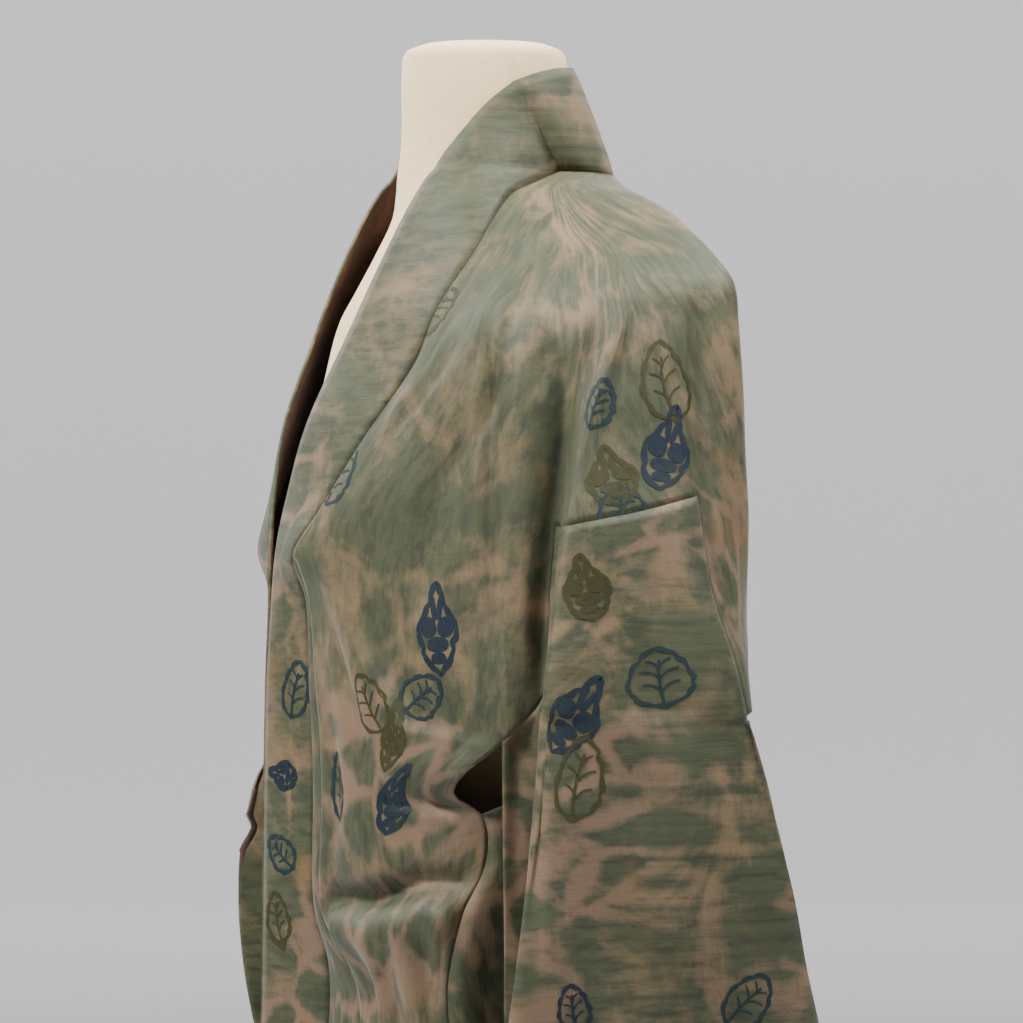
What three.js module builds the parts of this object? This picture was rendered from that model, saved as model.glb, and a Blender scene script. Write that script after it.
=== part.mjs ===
// A kimono hanging open on a limbless dress form with a pole and a round base.
// Millimetres, +Z up. The wearer faces -Y and the wearer's left is +X. The floor is z = 0 and the
// middle of the neck is x = 0, y = 0.
import * as THREE from 'three';

// Driving dimensions
const CLOTH = 1.8;            // body, overlap and sleeve cloth with its lining
const BAND = 3.0;             // collar band, cloth folded double
const SEAM_EASE = 0.2;        // each piece stops this far short of a seam line
const BAND_EASE = 0.32;       // and the thicker collar band this far
const NECK_SEAM = 1507;       // height of the neck seam
const ARM_SEAM = 1273;        // height of the shoulder seam of the sleeve, which hangs down
const ARM_END = 1141;         // height where the sleeve leaves the body
const SIDE_TOP = 1073;        // top of the side seam, under the side opening
const OVERLAP_TOP = 1243;     // point of the overlap panel on the collar seam
const BAND_END = 640;         // lower end of the collar band
const CUFF = 905;             // cuff edge
const BAG_TOP = 880;          // below this the sleeve is closed all round
const BAG_FOLD = 636;         // bottom fold of the sleeve
const HEM = 52;
const NAPE_RADIUS = 62.3;     // collar band at the nape
const NAPE_TOP = 1582;
const NAPE_TURN = 86.3;        // degrees round the neck from the centre back to its side
const NAPE_DROP = 14;         // the band's edge falls this much from the nape to the side of the neck
const BAND_TIP = 19;          // the band's front corner hangs this much below its seam corner
const NAPE_BOW = 2;           // dome of the folded band round the nape
const BAND_BOW = 2.5;         // and down the front
const OVERLAP_BOW = 3;        // forward bow of the overlap panel beside the band
const OVERLAP_FREE_BOW = 7;   // and below it
const LIP_IN = 20;            // the cuff's lower lip is drawn in this much at its middle
const LIP_DROP = 16;
const CORNER_DROP = 4;
const CORNER_TURN = 0.07;     // part of a place that the armhole's back corner is turned in
const JOIN_GAP = 0.3;         // between the form, pole and base
const FORM_BOTTOM = 830;
const POLE_RADIUS = 14;
const BASE_RADIUS = 150;
const BASE_HEIGHT = 12;
const BASE_BEVEL = 4;
const NEAR = 1e-6;            // place numbers closer than this are the same

// Lines on the left half of the cloth, front to back. Each row: height, x, y.
const LINES = {
  collarSeam: [[1507, 60, 38], [1498, 74, 16], [1490, 86, -2], [1470, 103, -21], [1450, 113, -35],
    [1409, 120, -64], [1371, 117, -80], [1316, 98, -113], [1271, 76, -137], [1243, 57, -149],
    [1212, 45, -137], [1150, 43, -133], [1100, 42, -131], [1003, 44, -130], [960, 50, -122],
    [900, 50, -124], [640, 50, -134]],
  overlapSeam: [[1243, 59, -148.2], [1212, 54, -138], [1150, 60, -134], [1079, 64, -131],
    [1003, 66, -131], [950, 92, -112], [880, 98, -114], [750, 108, -122], [500, 128, -128],
    [250, 148, -130], [52, 162, -128]],
  frontBulge: [[1507, 60.5, 41], [1498, 75.5, 19], [1490, 88, 3], [1476, 102, -9], [1462, 112, -19],
    [1447, 122, -28], [1427, 130, -43], [1400, 138, -62], [1362, 136, -81], [1308, 122, -107],
    [1270, 110, -122], [1214, 108, -121], [1141, 112, -116], [1073, 116, -112], [1032, 120, -108],
    [1017, 121, -104], [1000, 124, -109], [940, 130, -104], [850, 134, -106], [600, 150, -112],
    [300, 172, -108], [52, 186, -102]],
  sideFold: [[1507, 60.5, 45], [1498, 77, 23], [1490, 89.5, 10], [1476, 106, 1], [1462, 119, -8],
    [1447, 133, -15], [1427, 149, -24], [1400, 166, -37], [1362, 178, -39], [1308, 184, -40],
    [1270, 187, -40], [1214, 191, -39], [1141, 194, -37], [1122, 192, -38], [1100, 177, -60],
    [1085, 166, -64], [1073, 170, -46], [1041, 172, -44], [1006, 172, -60], [950, 172, -70],
    [850, 174, -55], [600, 190, -35], [300, 206, -20], [52, 216, -10]],
  valley: [[1507, 60, 50], [1498, 78.5, 29], [1490, 90, 19], [1476, 109, 13], [1462, 124, 6],
    [1447, 141, 2], [1427, 163, -2], [1400, 188, 2], [1362, 197, 4], [1308, 198, -1],
    [1270, 199, -6], [1214, 200, -10], [1141, 200, -12], [1000, 203, -13], [880, 207, -12]],
  capFront: [[1507, 59, 55], [1498, 79.5, 36], [1490, 93, 32], [1476, 115, 34], [1462, 133, 42],
    [1447, 152, 53], [1427, 178, 49], [1400, 192, 44], [1362, 202, 28], [1308, 212, 11],
    [1270, 221.5, 1.5], [1214, 227, -9], [1175, 233, -16], [1121, 238, -22], [1048, 243, -31],
    [981, 248, -41], [905, 252, -50], [880, 252, -54]],
  capMiddle: [[1507, 57, 61], [1498, 79, 48], [1490, 96, 49], [1476, 122, 55], [1462, 142, 64],
    [1447, 159, 76], [1427, 184, 72], [1400, 195, 70], [1362, 204, 60], [1308, 213, 50],
    [1270, 223, 47], [1175, 235, 48], [1034, 246, 58], [880, 248, 62]],
  capBack: [[1507, 52, 68], [1498, 77, 60], [1490, 98, 66], [1476, 128, 76], [1462, 148, 86],
    [1447, 162, 97], [1427, 184, 96], [1400, 192, 94], [1362, 199, 90.5], [1308, 208, 90],
    [1270, 215, 93], [1214, 223.5, 100], [1175, 228, 111], [1134, 228, 120.6], [1087, 228, 133],
    [1034, 226, 148], [981, 222, 160], [932, 218, 172], [880, 213, 181]],
  backCorner: [[1507, 42, 78], [1498, 66, 77], [1490, 92, 85], [1476, 124, 98], [1462, 143, 107],
    [1447, 158, 117], [1427, 175, 126], [1400, 181, 128], [1362, 185, 130], [1308, 186, 131],
    [1214, 187, 131], [1141, 188, 129], [1110, 172, 119], [1073, 163, 110], [980, 160, 108],
    [880, 166, 118], [600, 182, 132], [300, 200, 146], [52, 212, 154]],
  backBlade: [[1507, 22, 88], [1498, 40, 91], [1490, 50, 98], [1476, 62, 108], [1462, 71, 115],
    [1447, 78, 119], [1427, 84, 123], [1400, 88, 126], [1308, 86, 128], [1141, 86, 124],
    [1073, 84, 112], [980, 84, 112], [880, 88, 124], [600, 96, 140], [52, 112, 164]],
  backSeam: [[1507, 0, 92], [1498, 0, 97], [1490, 0, 101], [1476, 0, 106], [1447, 0, 113],
    [1400, 0, 119], [1308, 0, 122], [1141, 0, 114], [1073, 0, 100], [980, 0, 104], [880, 0, 118],
    [600, 0, 134], [52, 0, 160]],
  sleeveEdge: [[1141, 194, -37], [1122, 192, -38], [1000, 196, -38], [880, 196, -38]],
  sleeveBack: [[1118, 212, 124], [1087, 208, 136], [1034, 204, 150], [981, 200, 162],
    [932, 196, 170], [880, 192, 176]],
  sleeveInside: [[1118, 196, 70], [1034, 188, 62], [880, 187, 60]],
};

// The right sleeve swings forward, so three of its lines have rows of their own below the armhole
const RIGHT_LINES = {
  capFront: [...LINES.capFront.slice(0, 12), [1175, 233, -16], [1141, 234, -24], [1118, 230, -52],
    [1095, 223, -106], [1051, 220, -125], [1040, 220, -121], [1020, 220, -129], [905, 220, -124],
    [880, 220, -122]],
  valley: [...LINES.valley.slice(0, 12), [1141, 200, -12], [1100, 203, -22], [1051, 206, -56],
    [905, 207, -74], [880, 207, -74]],
  capMiddle: [...LINES.capMiddle.slice(0, 11), [1175, 234, 40], [1100, 238, 24], [1034, 240, 14],
    [880, 242, 16]],
  capBack: [...LINES.capBack.slice(0, 13), [1134, 227, 116], [1087, 225, 122], [1034, 222, 128],
    [981, 218, 132], [880, 212, 140]],
  sleeveBack: [[1118, 211, 119], [1087, 206, 125], [1034, 200, 132], [880, 192, 136]],
  sleeveInside: [[1118, 196, 62], [1034, 189, 40], [880, 188, 30]],
};

// Edge of the collar band. Each row: height of the seam beside it, x, y, height of the edge.
const BAND_EDGE = [[1507, 62.2, 4, 1568], [1498, 64, -14, 1554], [1490, 65, -30, 1537],
  [1470, 67, -55, 1506], [1450, 67, -72, 1479], [1409, 62, -95, 1431], [1371, 54, -112, 1391],
  [1316, 38, -136, 1332], [1271, 21, -147, 1279], [1243, 9.5, -151, 1247], [1212, 5, -153, 1214],
  [1150, 2.6, -156, 1150], [1003, 2.6, -158, 1003], [620, 2.6, -162, 620]];

// Folds. Each row: place across the cloth at the top and bottom, heights of its ends, depth out of
// the cloth (in is negative) and half width.
const FOLDS = [
  { name: 'roll', top: 2.5, low: 2.5, from: 1400, to: 1120, depth: 5, width: 11 },
  { name: 'shoulder drag', top: 1.6, low: 0.7, from: 1440, to: 1260, depth: -4, width: 13 },
  { name: 'chest drag', top: 1.9, low: 1.35, from: 1390, to: 1180, depth: -4, width: 13 },
  { name: 'tuck behind the side seam', top: 6.18, low: 6.25, from: 1055, to: 760, depth: -13, width: 14 },
  { name: 'front skirt 1', top: 0.55, low: 0.5, from: 960, to: HEM, depth: 11, width: 26 },
  { name: 'front skirt 2', top: 1.3, low: 1.35, from: 900, to: HEM, depth: -14, width: 24 },
  { name: 'front skirt 3', top: 1.75, low: 1.7, from: 860, to: HEM, depth: 12, width: 24 },
  { name: 'side skirt', top: 6.55, low: 6.5, from: 820, to: HEM, depth: 14, width: 26 },
  { name: 'back skirt 1', top: 7.3, low: 7.2, from: 840, to: HEM, depth: -15, width: 24 },
  { name: 'back skirt 2', top: 7.8, low: 7.75, from: 860, to: HEM, depth: 12, width: 26 },
  { name: 'back skirt 3', top: 8.5, low: 8.45, from: 880, to: HEM, depth: -14, width: 28 },
];
const HIP_CREASE = { front: 1004, side: 1032, depth: -8, width: 9, swell: 6, drop: 26 };

// Body of the form. Each row: height, half width, middle, front, back.
const FORM = [[1594, 54, 0, -54, 54], [1586, 57.4, 0, -57.4, 57.4], [1530, 58, 0, -58, 58],
  [1507, 60, 3, -61, 62], [1490, 77, 10, -62, 72], [1476, 98, 16, -64, 80], [1450, 127, 20, -76, 90],
  [1427, 150, 22, -88, 97], [1404, 162, 20, -100, 101], [1370, 168, 15, -109, 104],
  [1330, 164, 10, -118, 105], [1257, 149, 5, -124, 100], [1180, 135, 0, -110, 86],
  [1087, 121, 0, -96, 74], [980, 146, 5, -103, 94], [887, 156, 5, -104, 106],
  [FORM_BOTTOM, 149, 5, -98, 99]];
const FORM_SIDES = 32;
const FORM_BACK_ROUND = 2.2;
const FORM_FRONT_ROUND = 1.85;

const MATERIALS = {
  silk: new THREE.MeshStandardMaterial({ color: 0x7f8468, roughness: 0.62, metalness: 0 }),
  linen: new THREE.MeshStandardMaterial({ color: 0xdccfb2, roughness: 0.85, metalness: 0 }),
  metal: new THREE.MeshStandardMaterial({ color: 0x2e2e30, roughness: 0.4, metalness: 0.7 }),
};

// Smooth curve through the rows of a table, read at a height
function along(rows, z) {
  const last = rows.length - 1;
  if (z >= rows[0][0]) return rows[0].slice(1);
  if (z <= rows[last][0]) return rows[last].slice(1);
  let k = 0;
  while (rows[k + 1][0] > z) k += 1;
  const span = rows[k][0] - rows[k + 1][0];
  const t = (rows[k][0] - z) / span;
  const slope = (i, c) => {
    const a = Math.max(i - 1, 0);
    const b = Math.min(i + 1, last);
    return (rows[b][c] - rows[a][c]) / (rows[a][0] - rows[b][0]);
  };
  return rows[k].slice(1).map((value, index) => {
    const c = index + 1;
    return hermite(value, rows[k + 1][c], slope(k, c) * span, slope(k + 1, c) * span, t);
  });
}

function hermite(a, b, slopeA, slopeB, t) {
  const t2 = t * t;
  const t3 = t2 * t;
  return a * (2 * t3 - 3 * t2 + 1) + slopeA * (t3 - 2 * t2 + t) + b * (3 * t2 - 2 * t3) + slopeB * (t3 - t2);
}

// Smooth curve through the guide points of one level, read at a guide number with a fraction
function across(guides, place) {
  const last = guides.length - 1;
  const k = Math.min(Math.max(Math.floor(place), 0), last - 1);
  const t = place - k;
  const reach = (i) => Math.hypot(guides[i + 1][0] - guides[i][0], guides[i + 1][1] - guides[i][1]);
  const span = reach(k);
  const slope = (i, c) => {
    const a = Math.max(i - 1, 0);
    const b = Math.min(i + 1, last);
    let length = 0;
    for (let s = a; s < b; s += 1) length += reach(s);
    return (guides[b][c] - guides[a][c]) / length;
  };
  return [0, 1].map((c) => hermite(guides[k][c], guides[k + 1][c], slope(k, c) * span,
    slope(k + 1, c) * span, t));
}

const ramp = (x, a, b) => THREE.MathUtils.clamp((x - a) / (b - a), 0, 1);
const ease = (x) => x * x * (3 - 2 * x);
const bell = (x) => Math.exp(-x * x);

// Piecewise straight reading of rows of [place, value]
function steps(rows, place) {
  if (place <= rows[0][0]) return rows[0][1];
  for (let k = 1; k < rows.length; k += 1) {
    if (place <= rows[k][0]) {
      const t = ramp(place, rows[k - 1][0], rows[k][0]);
      return rows[k - 1][1] + t * (rows[k][1] - rows[k - 1][1]);
    }
  }
  return rows[rows.length - 1][1];
}

// The armhole seam slants: height added to a level near it, by place across the cloth
const ARM_SLANT = [[2, 0], [3, -10], [4, -9], [5, 0], [6, 11], [7, 0]];
const ARM_END_SLANT = [[1, 0], [2, -19], [3, 11], [4, 0]];
const SLANT_REACH = 25;

// One side of the garment: sign is +1 for the wearer's left and -1 for the right
function makeSide(sign) {
  const lines = sign > 0 ? LINES : { ...LINES, ...RIGHT_LINES };
  const cuffSlant = sign > 0 ? [[2, 0], [9, 0]] : [[2, 60], [3, 80], [4, 107], [5, 62], [6, 30], [7, 30]];
  const read = (name, z) => along(lines[name], z);

  function levelHeight(level, place) {
    const arm = steps(ARM_SLANT, place) * bell((level - ARM_SEAM) / SLANT_REACH);
    const end = steps(ARM_END_SLANT, place) * bell((level - ARM_END) / SLANT_REACH);
    return level + arm + end;
  }

  // Place numbers: 0 collar or overlap seam, 1 front, 2 side fold or side seam, 3 valley,
  // 4 to 6 cap or sleeve, 7 back corner, 8 blade, 9 centre-back seam
  function guides(level, z) {
    const inner = z >= OVERLAP_TOP ? read('collarSeam', z) : read('overlapSeam', z);
    const front = [inner, read('frontBulge', z), read('sideFold', z)];
    const back = [read('backCorner', z), read('backBlade', z), read('backSeam', z)];
    if (level >= ARM_END) {
      return [...front, read('valley', z), read('capFront', z), read('capMiddle', z),
        read('capBack', z), ...back];
    }
    // under the armhole the back panel's free edge sweeps forward to the side seam
    const t = ramp(z, ARM_END, SIDE_TOP);
    const start = read('capBack', ARM_END);
    const end = read('sideFold', Math.min(z, SIDE_TOP));
    const free = [start[0] + (end[0] - start[0]) * t * t, start[1] + (end[1] - start[1]) * t];
    return level > SIDE_TOP ? [...front, free, ...back] : [...front, ...back];
  }

  function guidePlace(level, place) {
    if (level >= ARM_END) return place;
    if (level > SIDE_TOP) return place <= 2 ? place : place - 3;
    return place <= 2 ? place : Math.max(place - 4, 2);
  }

  function flatPoint(level, place, z) {
    const set = guides(level, z);
    if (level <= SIDE_TOP && place >= 6 && place < 7) return across(set, 2 + (place - 6));
    return across(set, guidePlace(level, place));
  }

  // The back panel's corner at the end of the armhole is turned in clear of the sleeve
  function bodyPoint(level, place, corner = false) {
    const z = levelHeight(level, place);
    const [x, y] = flatPoint(level, corner ? place + CORNER_TURN : place, z);
    const p = new THREE.Vector3(x, y, z);
    const shift = foldShift(level, place, z, x, y);
    p.x += shift[0];
    p.y += shift[1];
    p.x *= sign;
    return p;
  }

  // Folds push the cloth along its level's outward direction
  function foldShift(level, place, z, x, y) {
    const step = 0.02;
    const a = flatPoint(level, Math.max(place - step, place >= 6 && level < ARM_END ? 6 : 0), z);
    const b = flatPoint(level, Math.min(place + step, place <= 2 && level < ARM_END ? 2 : 9), z);
    const length = Math.hypot(b[0] - a[0], b[1] - a[1]) || 1;
    const out = [(b[1] - a[1]) / length, -(b[0] - a[0]) / length];
    let amount = 0;
    for (const fold of FOLDS) {
      if (z > fold.from || z < fold.to - 1) continue;
      if (level < ARM_END && (fold.top < 5) !== (place < 5)) continue;
      const t = ramp(z, fold.from, fold.to);
      const centre = flatPoint(level, fold.top + (fold.low - fold.top) * t, z);
      const away = Math.hypot(centre[0] - x, centre[1] - y) / fold.width;
      const grow = fold.to === HEM ? ease(t) * 0.6 + 0.4 * t : Math.sin(Math.PI * t);
      amount += fold.depth * grow * bell(away);
    }
    if (level < ARM_END && place <= 2) {
      const crease = HIP_CREASE.front + (HIP_CREASE.side - HIP_CREASE.front) * place / 2;
      const fade = ease(ramp(place, 0, 0.25));
      amount += fade * HIP_CREASE.depth * bell((z - crease) / HIP_CREASE.width);
      amount += fade * HIP_CREASE.swell * bell((z - crease + HIP_CREASE.drop) / (2 * HIP_CREASE.width));
    }
    const seamFade = place > 8.9 ? 0 : 1;
    return [out[0] * amount * seamFade, out[1] * amount * seamFade];
  }

  // The sleeve goes on from the cap; below the cuff it narrows to its bottom fold
  function sleeveGuides(z) {
    const outer = ['sleeveEdge', 'valley', 'capFront', 'capMiddle', 'capBack'].map((n) => read(n, z));
    const inner = [read('sleeveBack', z), read('sleeveInside', z)];
    return [...outer, ...inner, outer[0]];
  }

  function bottomPlace(fraction) {
    const from = read('valley', BAG_TOP);
    const to = read('capBack', BAG_TOP);
    const x = (from[0] + to[0]) / 2 + 6;
    return [x, from[1] - 16 + (to[1] - 14 - from[1]) * fraction];
  }

  function sleevePoint(level, place, fold) {
    const slant = steps(cuffSlant, place) * Math.sin(Math.PI * ramp(level, ARM_END, BAG_FOLD) ** 1.2);
    const z = levelHeight(level, Math.min(place, 6)) + slant;
    if (level >= ARM_END) return bodyPoint(level, place);
    const [x, y] = across(sleeveGuides(Math.max(z, BAG_TOP)), place - 2);
    const narrow = ramp(level, BAG_TOP, BAG_FOLD) ** 2.2;
    const end = bottomPlace(fold);
    const p = new THREE.Vector3(x + (end[0] - x) * narrow, y + (end[1] - y) * narrow, z);
    p.x *= sign;
    return p;
  }

  function seamPoint(level) {
    const z = Math.max(level, HEM);
    const [x, y] = read('collarSeam', z);
    return new THREE.Vector3(sign * x, y, z);
  }

  function edgePoint(level) {
    const [x, y, z] = along(BAND_EDGE, level);
    return new THREE.Vector3(sign * x, y, z);
  }

  return { sign, bodyPoint, sleevePoint, seamPoint, edgePoint };
}

// A cloth panel: a grid of points with the squares that exist
class Panel {
  constructor(name, sign, thickness, points, keep, wrap = false) {
    Object.assign(this, { name, sign, thickness, points, keep, wrap });
    this.ease = thickness === BAND ? BAND_EASE : SEAM_EASE;
    this.rows = points.length;
    this.cols = points[0].length;
    this.normals = points.map((row) => row.map(() => new THREE.Vector3()));
    this.squares = [];
    const lastCol = wrap ? this.cols : this.cols - 1;
    for (let i = 0; i < this.rows - 1; i += 1) {
      for (let j = 0; j < lastCol; j += 1) {
        if (keep(i, j)) {
          const k = (j + 1) % this.cols;
          const square = [[i, j], [i + 1, j], [i + 1, k], [i, k]];
          this.squares.push(sign > 0 ? square : square.reverse());
        }
      }
    }
    this.faces = this.squares.map((square) => this.faceNormal(square));
    this.squares.forEach((square, index) => {
      for (const [i, j] of square) this.normals[i][j].add(this.faces[index]);
    });
  }

  faceNormal(square) {
    const [a, b, c, d] = square.map(([i, j]) => this.points[i][j]);
    return c.clone().sub(a).cross(d.clone().sub(b)).normalize();
  }
}

const keyOf = (p) => `${Math.round(p.x * 1e3)},${Math.round(p.y * 1e3)},${Math.round(p.z * 1e3)}`;

// Panels that share a seam take one direction for their cut edges, so that the cuts lie side by side
function shareSeams(panels) {
  const sums = new Map();
  for (const panel of panels) {
    panel.points.forEach((row, i) => row.forEach((p, j) => {
      const key = keyOf(p);
      if (!sums.has(key)) sums.set(key, new THREE.Vector3());
      sums.get(key).add(panel.normals[i][j]);
    }));
  }
  for (const panel of panels) {
    panel.directions = panel.points.map((row) => row.map((p) => sums.get(keyOf(p)).clone().normalize()));
  }
}

// Wall of even thickness behind a panel's points
function wallGeometry(panel) {
  const ids = new Map();
  const outer = [];
  const idOf = (i, j) => {
    const key = keyOf(panel.points[i][j]);
    if (!ids.has(key)) {
      ids.set(key, outer.length);
      outer.push({ p: panel.points[i][j].clone(), n: panel.directions[i][j], sum: 0, count: 0, pulls: [] });
    }
    return ids.get(key);
  };
  const loops = panel.squares.map((square, index) => {
    const loop = square.map(([i, j]) => idOf(i, j)).filter((id, k, all) => id !== all[(k + 1) % all.length]);
    for (const id of loop) {
      outer[id].sum += outer[id].n.dot(panel.faces[index]);
      outer[id].count += 1;
    }
    return loop;
  });
  const edges = new Map();
  loops.forEach((loop, index) => loop.forEach((a, k) => edges.set(`${a}>${loop[(k + 1) % loop.length]}`, [a,
    loop[(k + 1) % loop.length], index])));
  const rim = [...edges.values()].filter(([a, b]) => !edges.has(`${b}>${a}`));
  for (const [a, b, index] of rim) {
    const edgeWay = outer[b].p.clone().sub(outer[a].p).normalize();
    const inward = panel.faces[index].clone().cross(edgeWay).normalize();
    outer[a].pulls.push(inward);
    outer[b].pulls.push(inward);
  }
  for (const v of outer) {
    if (v.pulls.length) {
      const total = new THREE.Vector3();
      for (const pull of v.pulls) total.add(pull);
      const spread = v.pulls.length > 1 ? 1 + v.pulls[0].dot(v.pulls[1]) : 1;
      v.p.addScaledVector(total, panel.ease / Math.max(spread, 0.5) / (v.pulls.length > 2 ? 2 : 1));
    }
  }
  const inner = outer.map((v) => {
    const mitre = Math.max(v.sum / Math.max(v.count, 1), 0.6);
    return v.p.clone().addScaledVector(v.n, -panel.thickness / mitre);
  });
  const positions = [...outer.map((v) => v.p), ...inner].flatMap((p) => [p.x, p.y, p.z]);
  const half = outer.length;
  const index = [];
  const face = (loop) => {
    for (let k = 1; k < loop.length - 1; k += 1) index.push(loop[0], loop[k], loop[k + 1]);
  };
  for (const loop of loops) {
    face(loop);
    const back = loop.map((id) => id + half);
    index.push(...(back.length === 4
      ? [back[2], back[1], back[0], back[3], back[2], back[0]]
      : [back[2], back[1], back[0]]));
  }
  for (const [a, b] of rim) index.push(b, a, a + half, b, a + half, b + half);
  const geometry = new THREE.BufferGeometry();
  geometry.setAttribute('position', new THREE.Float32BufferAttribute(positions, 3));
  geometry.setIndex(index);
  geometry.computeVertexNormals();
  return geometry;
}

// Levels from one height down to another, in even steps
function levels(from, to, count) {
  return Array.from({ length: count }, (_, k) => from + (to - from) * (k + 1) / count);
}

const SHOULDER_LEVELS = [NECK_SEAM, 1498, 1490, 1476, 1462, 1447, 1427, 1400, 1371, 1340, 1306, ARM_SEAM];
const CHEST_LEVELS = [OVERLAP_TOP, 1210, 1175, ARM_END];
const SIDE_LEVELS = [1118, 1096, SIDE_TOP];
const WAIST_LEVELS = [1048, 1032, 1018, 1004, 984, 955, 910, 860, 800, 730];
const SKIRT_LEVELS = [BAND_END, BAND_END - 20, ...levels(BAND_END - 20, HEM, 8)];
const BODY_LEVELS = [...SHOULDER_LEVELS, ...CHEST_LEVELS, ...SIDE_LEVELS, ...WAIST_LEVELS, ...SKIRT_LEVELS];
const SLEEVE_LEVELS = [ARM_SEAM, ...CHEST_LEVELS, 1118, 1085, 1045, 1000, 950, CUFF, BAG_TOP, 835, 780,
  725, 680, 652, BAG_FOLD];

// Squares across each stretch between place numbers
const STRETCHES = [4, 4, 3, 2, 3, 3, 2, 3, 3];
const PLACES = [0];
STRETCHES.forEach((count, k) => {
  for (let s = 1; s <= count; s += 1) PLACES.push(k + s / count);
});

function bodyPanel(side, name) {
  const points = BODY_LEVELS.map((level) => PLACES.map((place) => side.bodyPoint(level, place,
    level === ARM_END && place === 6)));
  const keep = (i, j) => {
    const low = BODY_LEVELS[i + 1];
    const place = PLACES[j];
    if (place >= 3 - NEAR && place < 6 - NEAR) return low >= ARM_SEAM;
    if (place >= 2 - NEAR && place < 3 - NEAR) return low >= ARM_END;
    return true;
  };
  return new Panel(name, side.sign, CLOTH, points, keep);
}

const INSIDE_COLUMNS = 5;     // squares from the sleeve's back fold round inside to its front edge

function sleevePanel(side, name) {
  const outerPlaces = PLACES.filter((place) => place >= 2 - NEAR && place <= 6 + NEAR);
  const rollCount = outerPlaces.filter((place) => place < 3 - NEAR).length;
  const faceCount = outerPlaces.length - 1 - rollCount;
  const points = SLEEVE_LEVELS.map((level) => {
    const outer = outerPlaces.map((place, k) => {
      const fold = k >= rollCount ? (k - rollCount) / faceCount : (rollCount - k) / faceCount;
      return side.sleevePoint(level, place, fold);
    });
    const closed = (INSIDE_COLUMNS - 1) / INSIDE_COLUMNS;
    const reach = closed * Math.max(ramp(level, ARM_END, BAG_TOP), 0.02);
    const inner = Array.from({ length: INSIDE_COLUMNS - 1 }, (_, k) => {
      const part = reach * (k + 1) / (INSIDE_COLUMNS - 1);
      const fold = (faceCount - (k + 1)) / faceCount;
      return level >= ARM_END
        ? outer[outer.length - 1].clone()
        : side.sleevePoint(level, 6 + part * 3, fold);
    });
    return [...outer, ...inner];
  });
  if (side.sign < 0) {
    // the forward swing folds this corner sharply, so its cut edge is lowered clear of the body
    points[SLEEVE_LEVELS.indexOf(ARM_END)][rollCount].z -= CORNER_DROP;
  }
  const lipRow = SLEEVE_LEVELS.indexOf(BAG_TOP);
  const first = outerPlaces.findIndex((place) => place >= 4 - NEAR);
  const last = outerPlaces.length - 1;
  for (let j = first; j <= last; j += 1) {
    const arch = Math.sin(Math.PI * (j - first) / (last - first));
    points[lipRow][j].x -= side.sign * LIP_IN * arch;
    points[lipRow][j].z -= LIP_DROP * arch;
  }
  const keep = (i, j) => {
    const high = SLEEVE_LEVELS[i];
    if (j >= outerPlaces.length - 1 + INSIDE_COLUMNS - 1) return high <= BAG_TOP;
    if (j >= outerPlaces.length - 1) return high <= SLEEVE_LEVELS[SLEEVE_LEVELS.indexOf(ARM_END) + 1];
    const place = outerPlaces[j];
    if (place < 3 - NEAR) return high <= ARM_END;
    if (place >= 4 - NEAR && high === CUFF) return false;
    return true;
  };
  return new Panel(name, side.sign, CLOTH, points, keep, true);
}

function overlapPanel(side, name) {
  const rows = BODY_LEVELS.filter((level) => level <= OVERLAP_TOP);
  const count = 3;
  const points = rows.map((level) => {
    const from = level < BAND_END ? side.edgePoint(level) : side.seamPoint(level);
    const to = side.bodyPoint(level, 0);
    if (level < BAND_END) from.z = to.z;
    return Array.from({ length: count + 1 }, (_, k) => {
      if (k === count) return to;
      const t = k / count;
      const p = from.clone().lerp(to, t);
      const bow = level < BAND_END ? OVERLAP_FREE_BOW : OVERLAP_BOW;
      p.y -= bow * Math.sin(Math.PI * t) * ramp(level, OVERLAP_TOP, 1150);
      return p;
    });
  });
  return new Panel(name, side.sign, CLOTH, points, () => true);
}

// The collar band: a strip from one lower end up round the nape and down to the other
function bandPanel(sides, name) {
  const count = 2;
  const strip = (edge, seam, out) => Array.from({ length: count + 1 }, (_, k) => {
    if (k === 0) return edge;
    if (k === count) return seam;
    const p = edge.clone().lerp(seam, k / count);
    return p.add(out);
  });
  const halves = sides.map((side) => {
    const rows = [];
    const nape = PLACES.filter((place) => place > 0).reverse();
    const lengths = nape.map((place) => side.bodyPoint(NECK_SEAM, place));
    const total = lengths.reduce((sum, p, k) => sum + (k ? p.distanceTo(lengths[k - 1]) : 0), 0)
      + lengths[lengths.length - 1].distanceTo(side.bodyPoint(NECK_SEAM, 0));
    let walked = 0;
    lengths.forEach((p, k) => {
      if (k) walked += p.distanceTo(lengths[k - 1]);
      const turn = THREE.MathUtils.degToRad(NAPE_TURN) * walked / total;
      const edge = new THREE.Vector3(side.sign * NAPE_RADIUS * Math.sin(turn), NAPE_RADIUS * Math.cos(turn),
        NAPE_TOP - NAPE_DROP * (walked / total) ** 3);
      const out = new THREE.Vector3(p.x, p.y, 0).normalize().multiplyScalar(NAPE_BOW);
      rows.push(strip(edge, p, out));
    });
    for (const level of BODY_LEVELS.filter((z) => z >= BAND_END)) {
      const edge = side.edgePoint(level);
      const seam = level > OVERLAP_TOP ? side.bodyPoint(level, 0) : side.seamPoint(level);
      if (level === BAND_END) edge.z = BAND_END - BAND_TIP;
      const out = new THREE.Vector3(side.sign * 0.5, -0.86, 0).multiplyScalar(BAND_BOW);
      rows.push(strip(edge, seam, out));
    }
    return rows;
  });
  const [left, right] = halves;
  const points = [...left.reverse(), ...right.slice(1)];
  return new Panel(name, -1, BAND, points, () => true);
}

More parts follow.
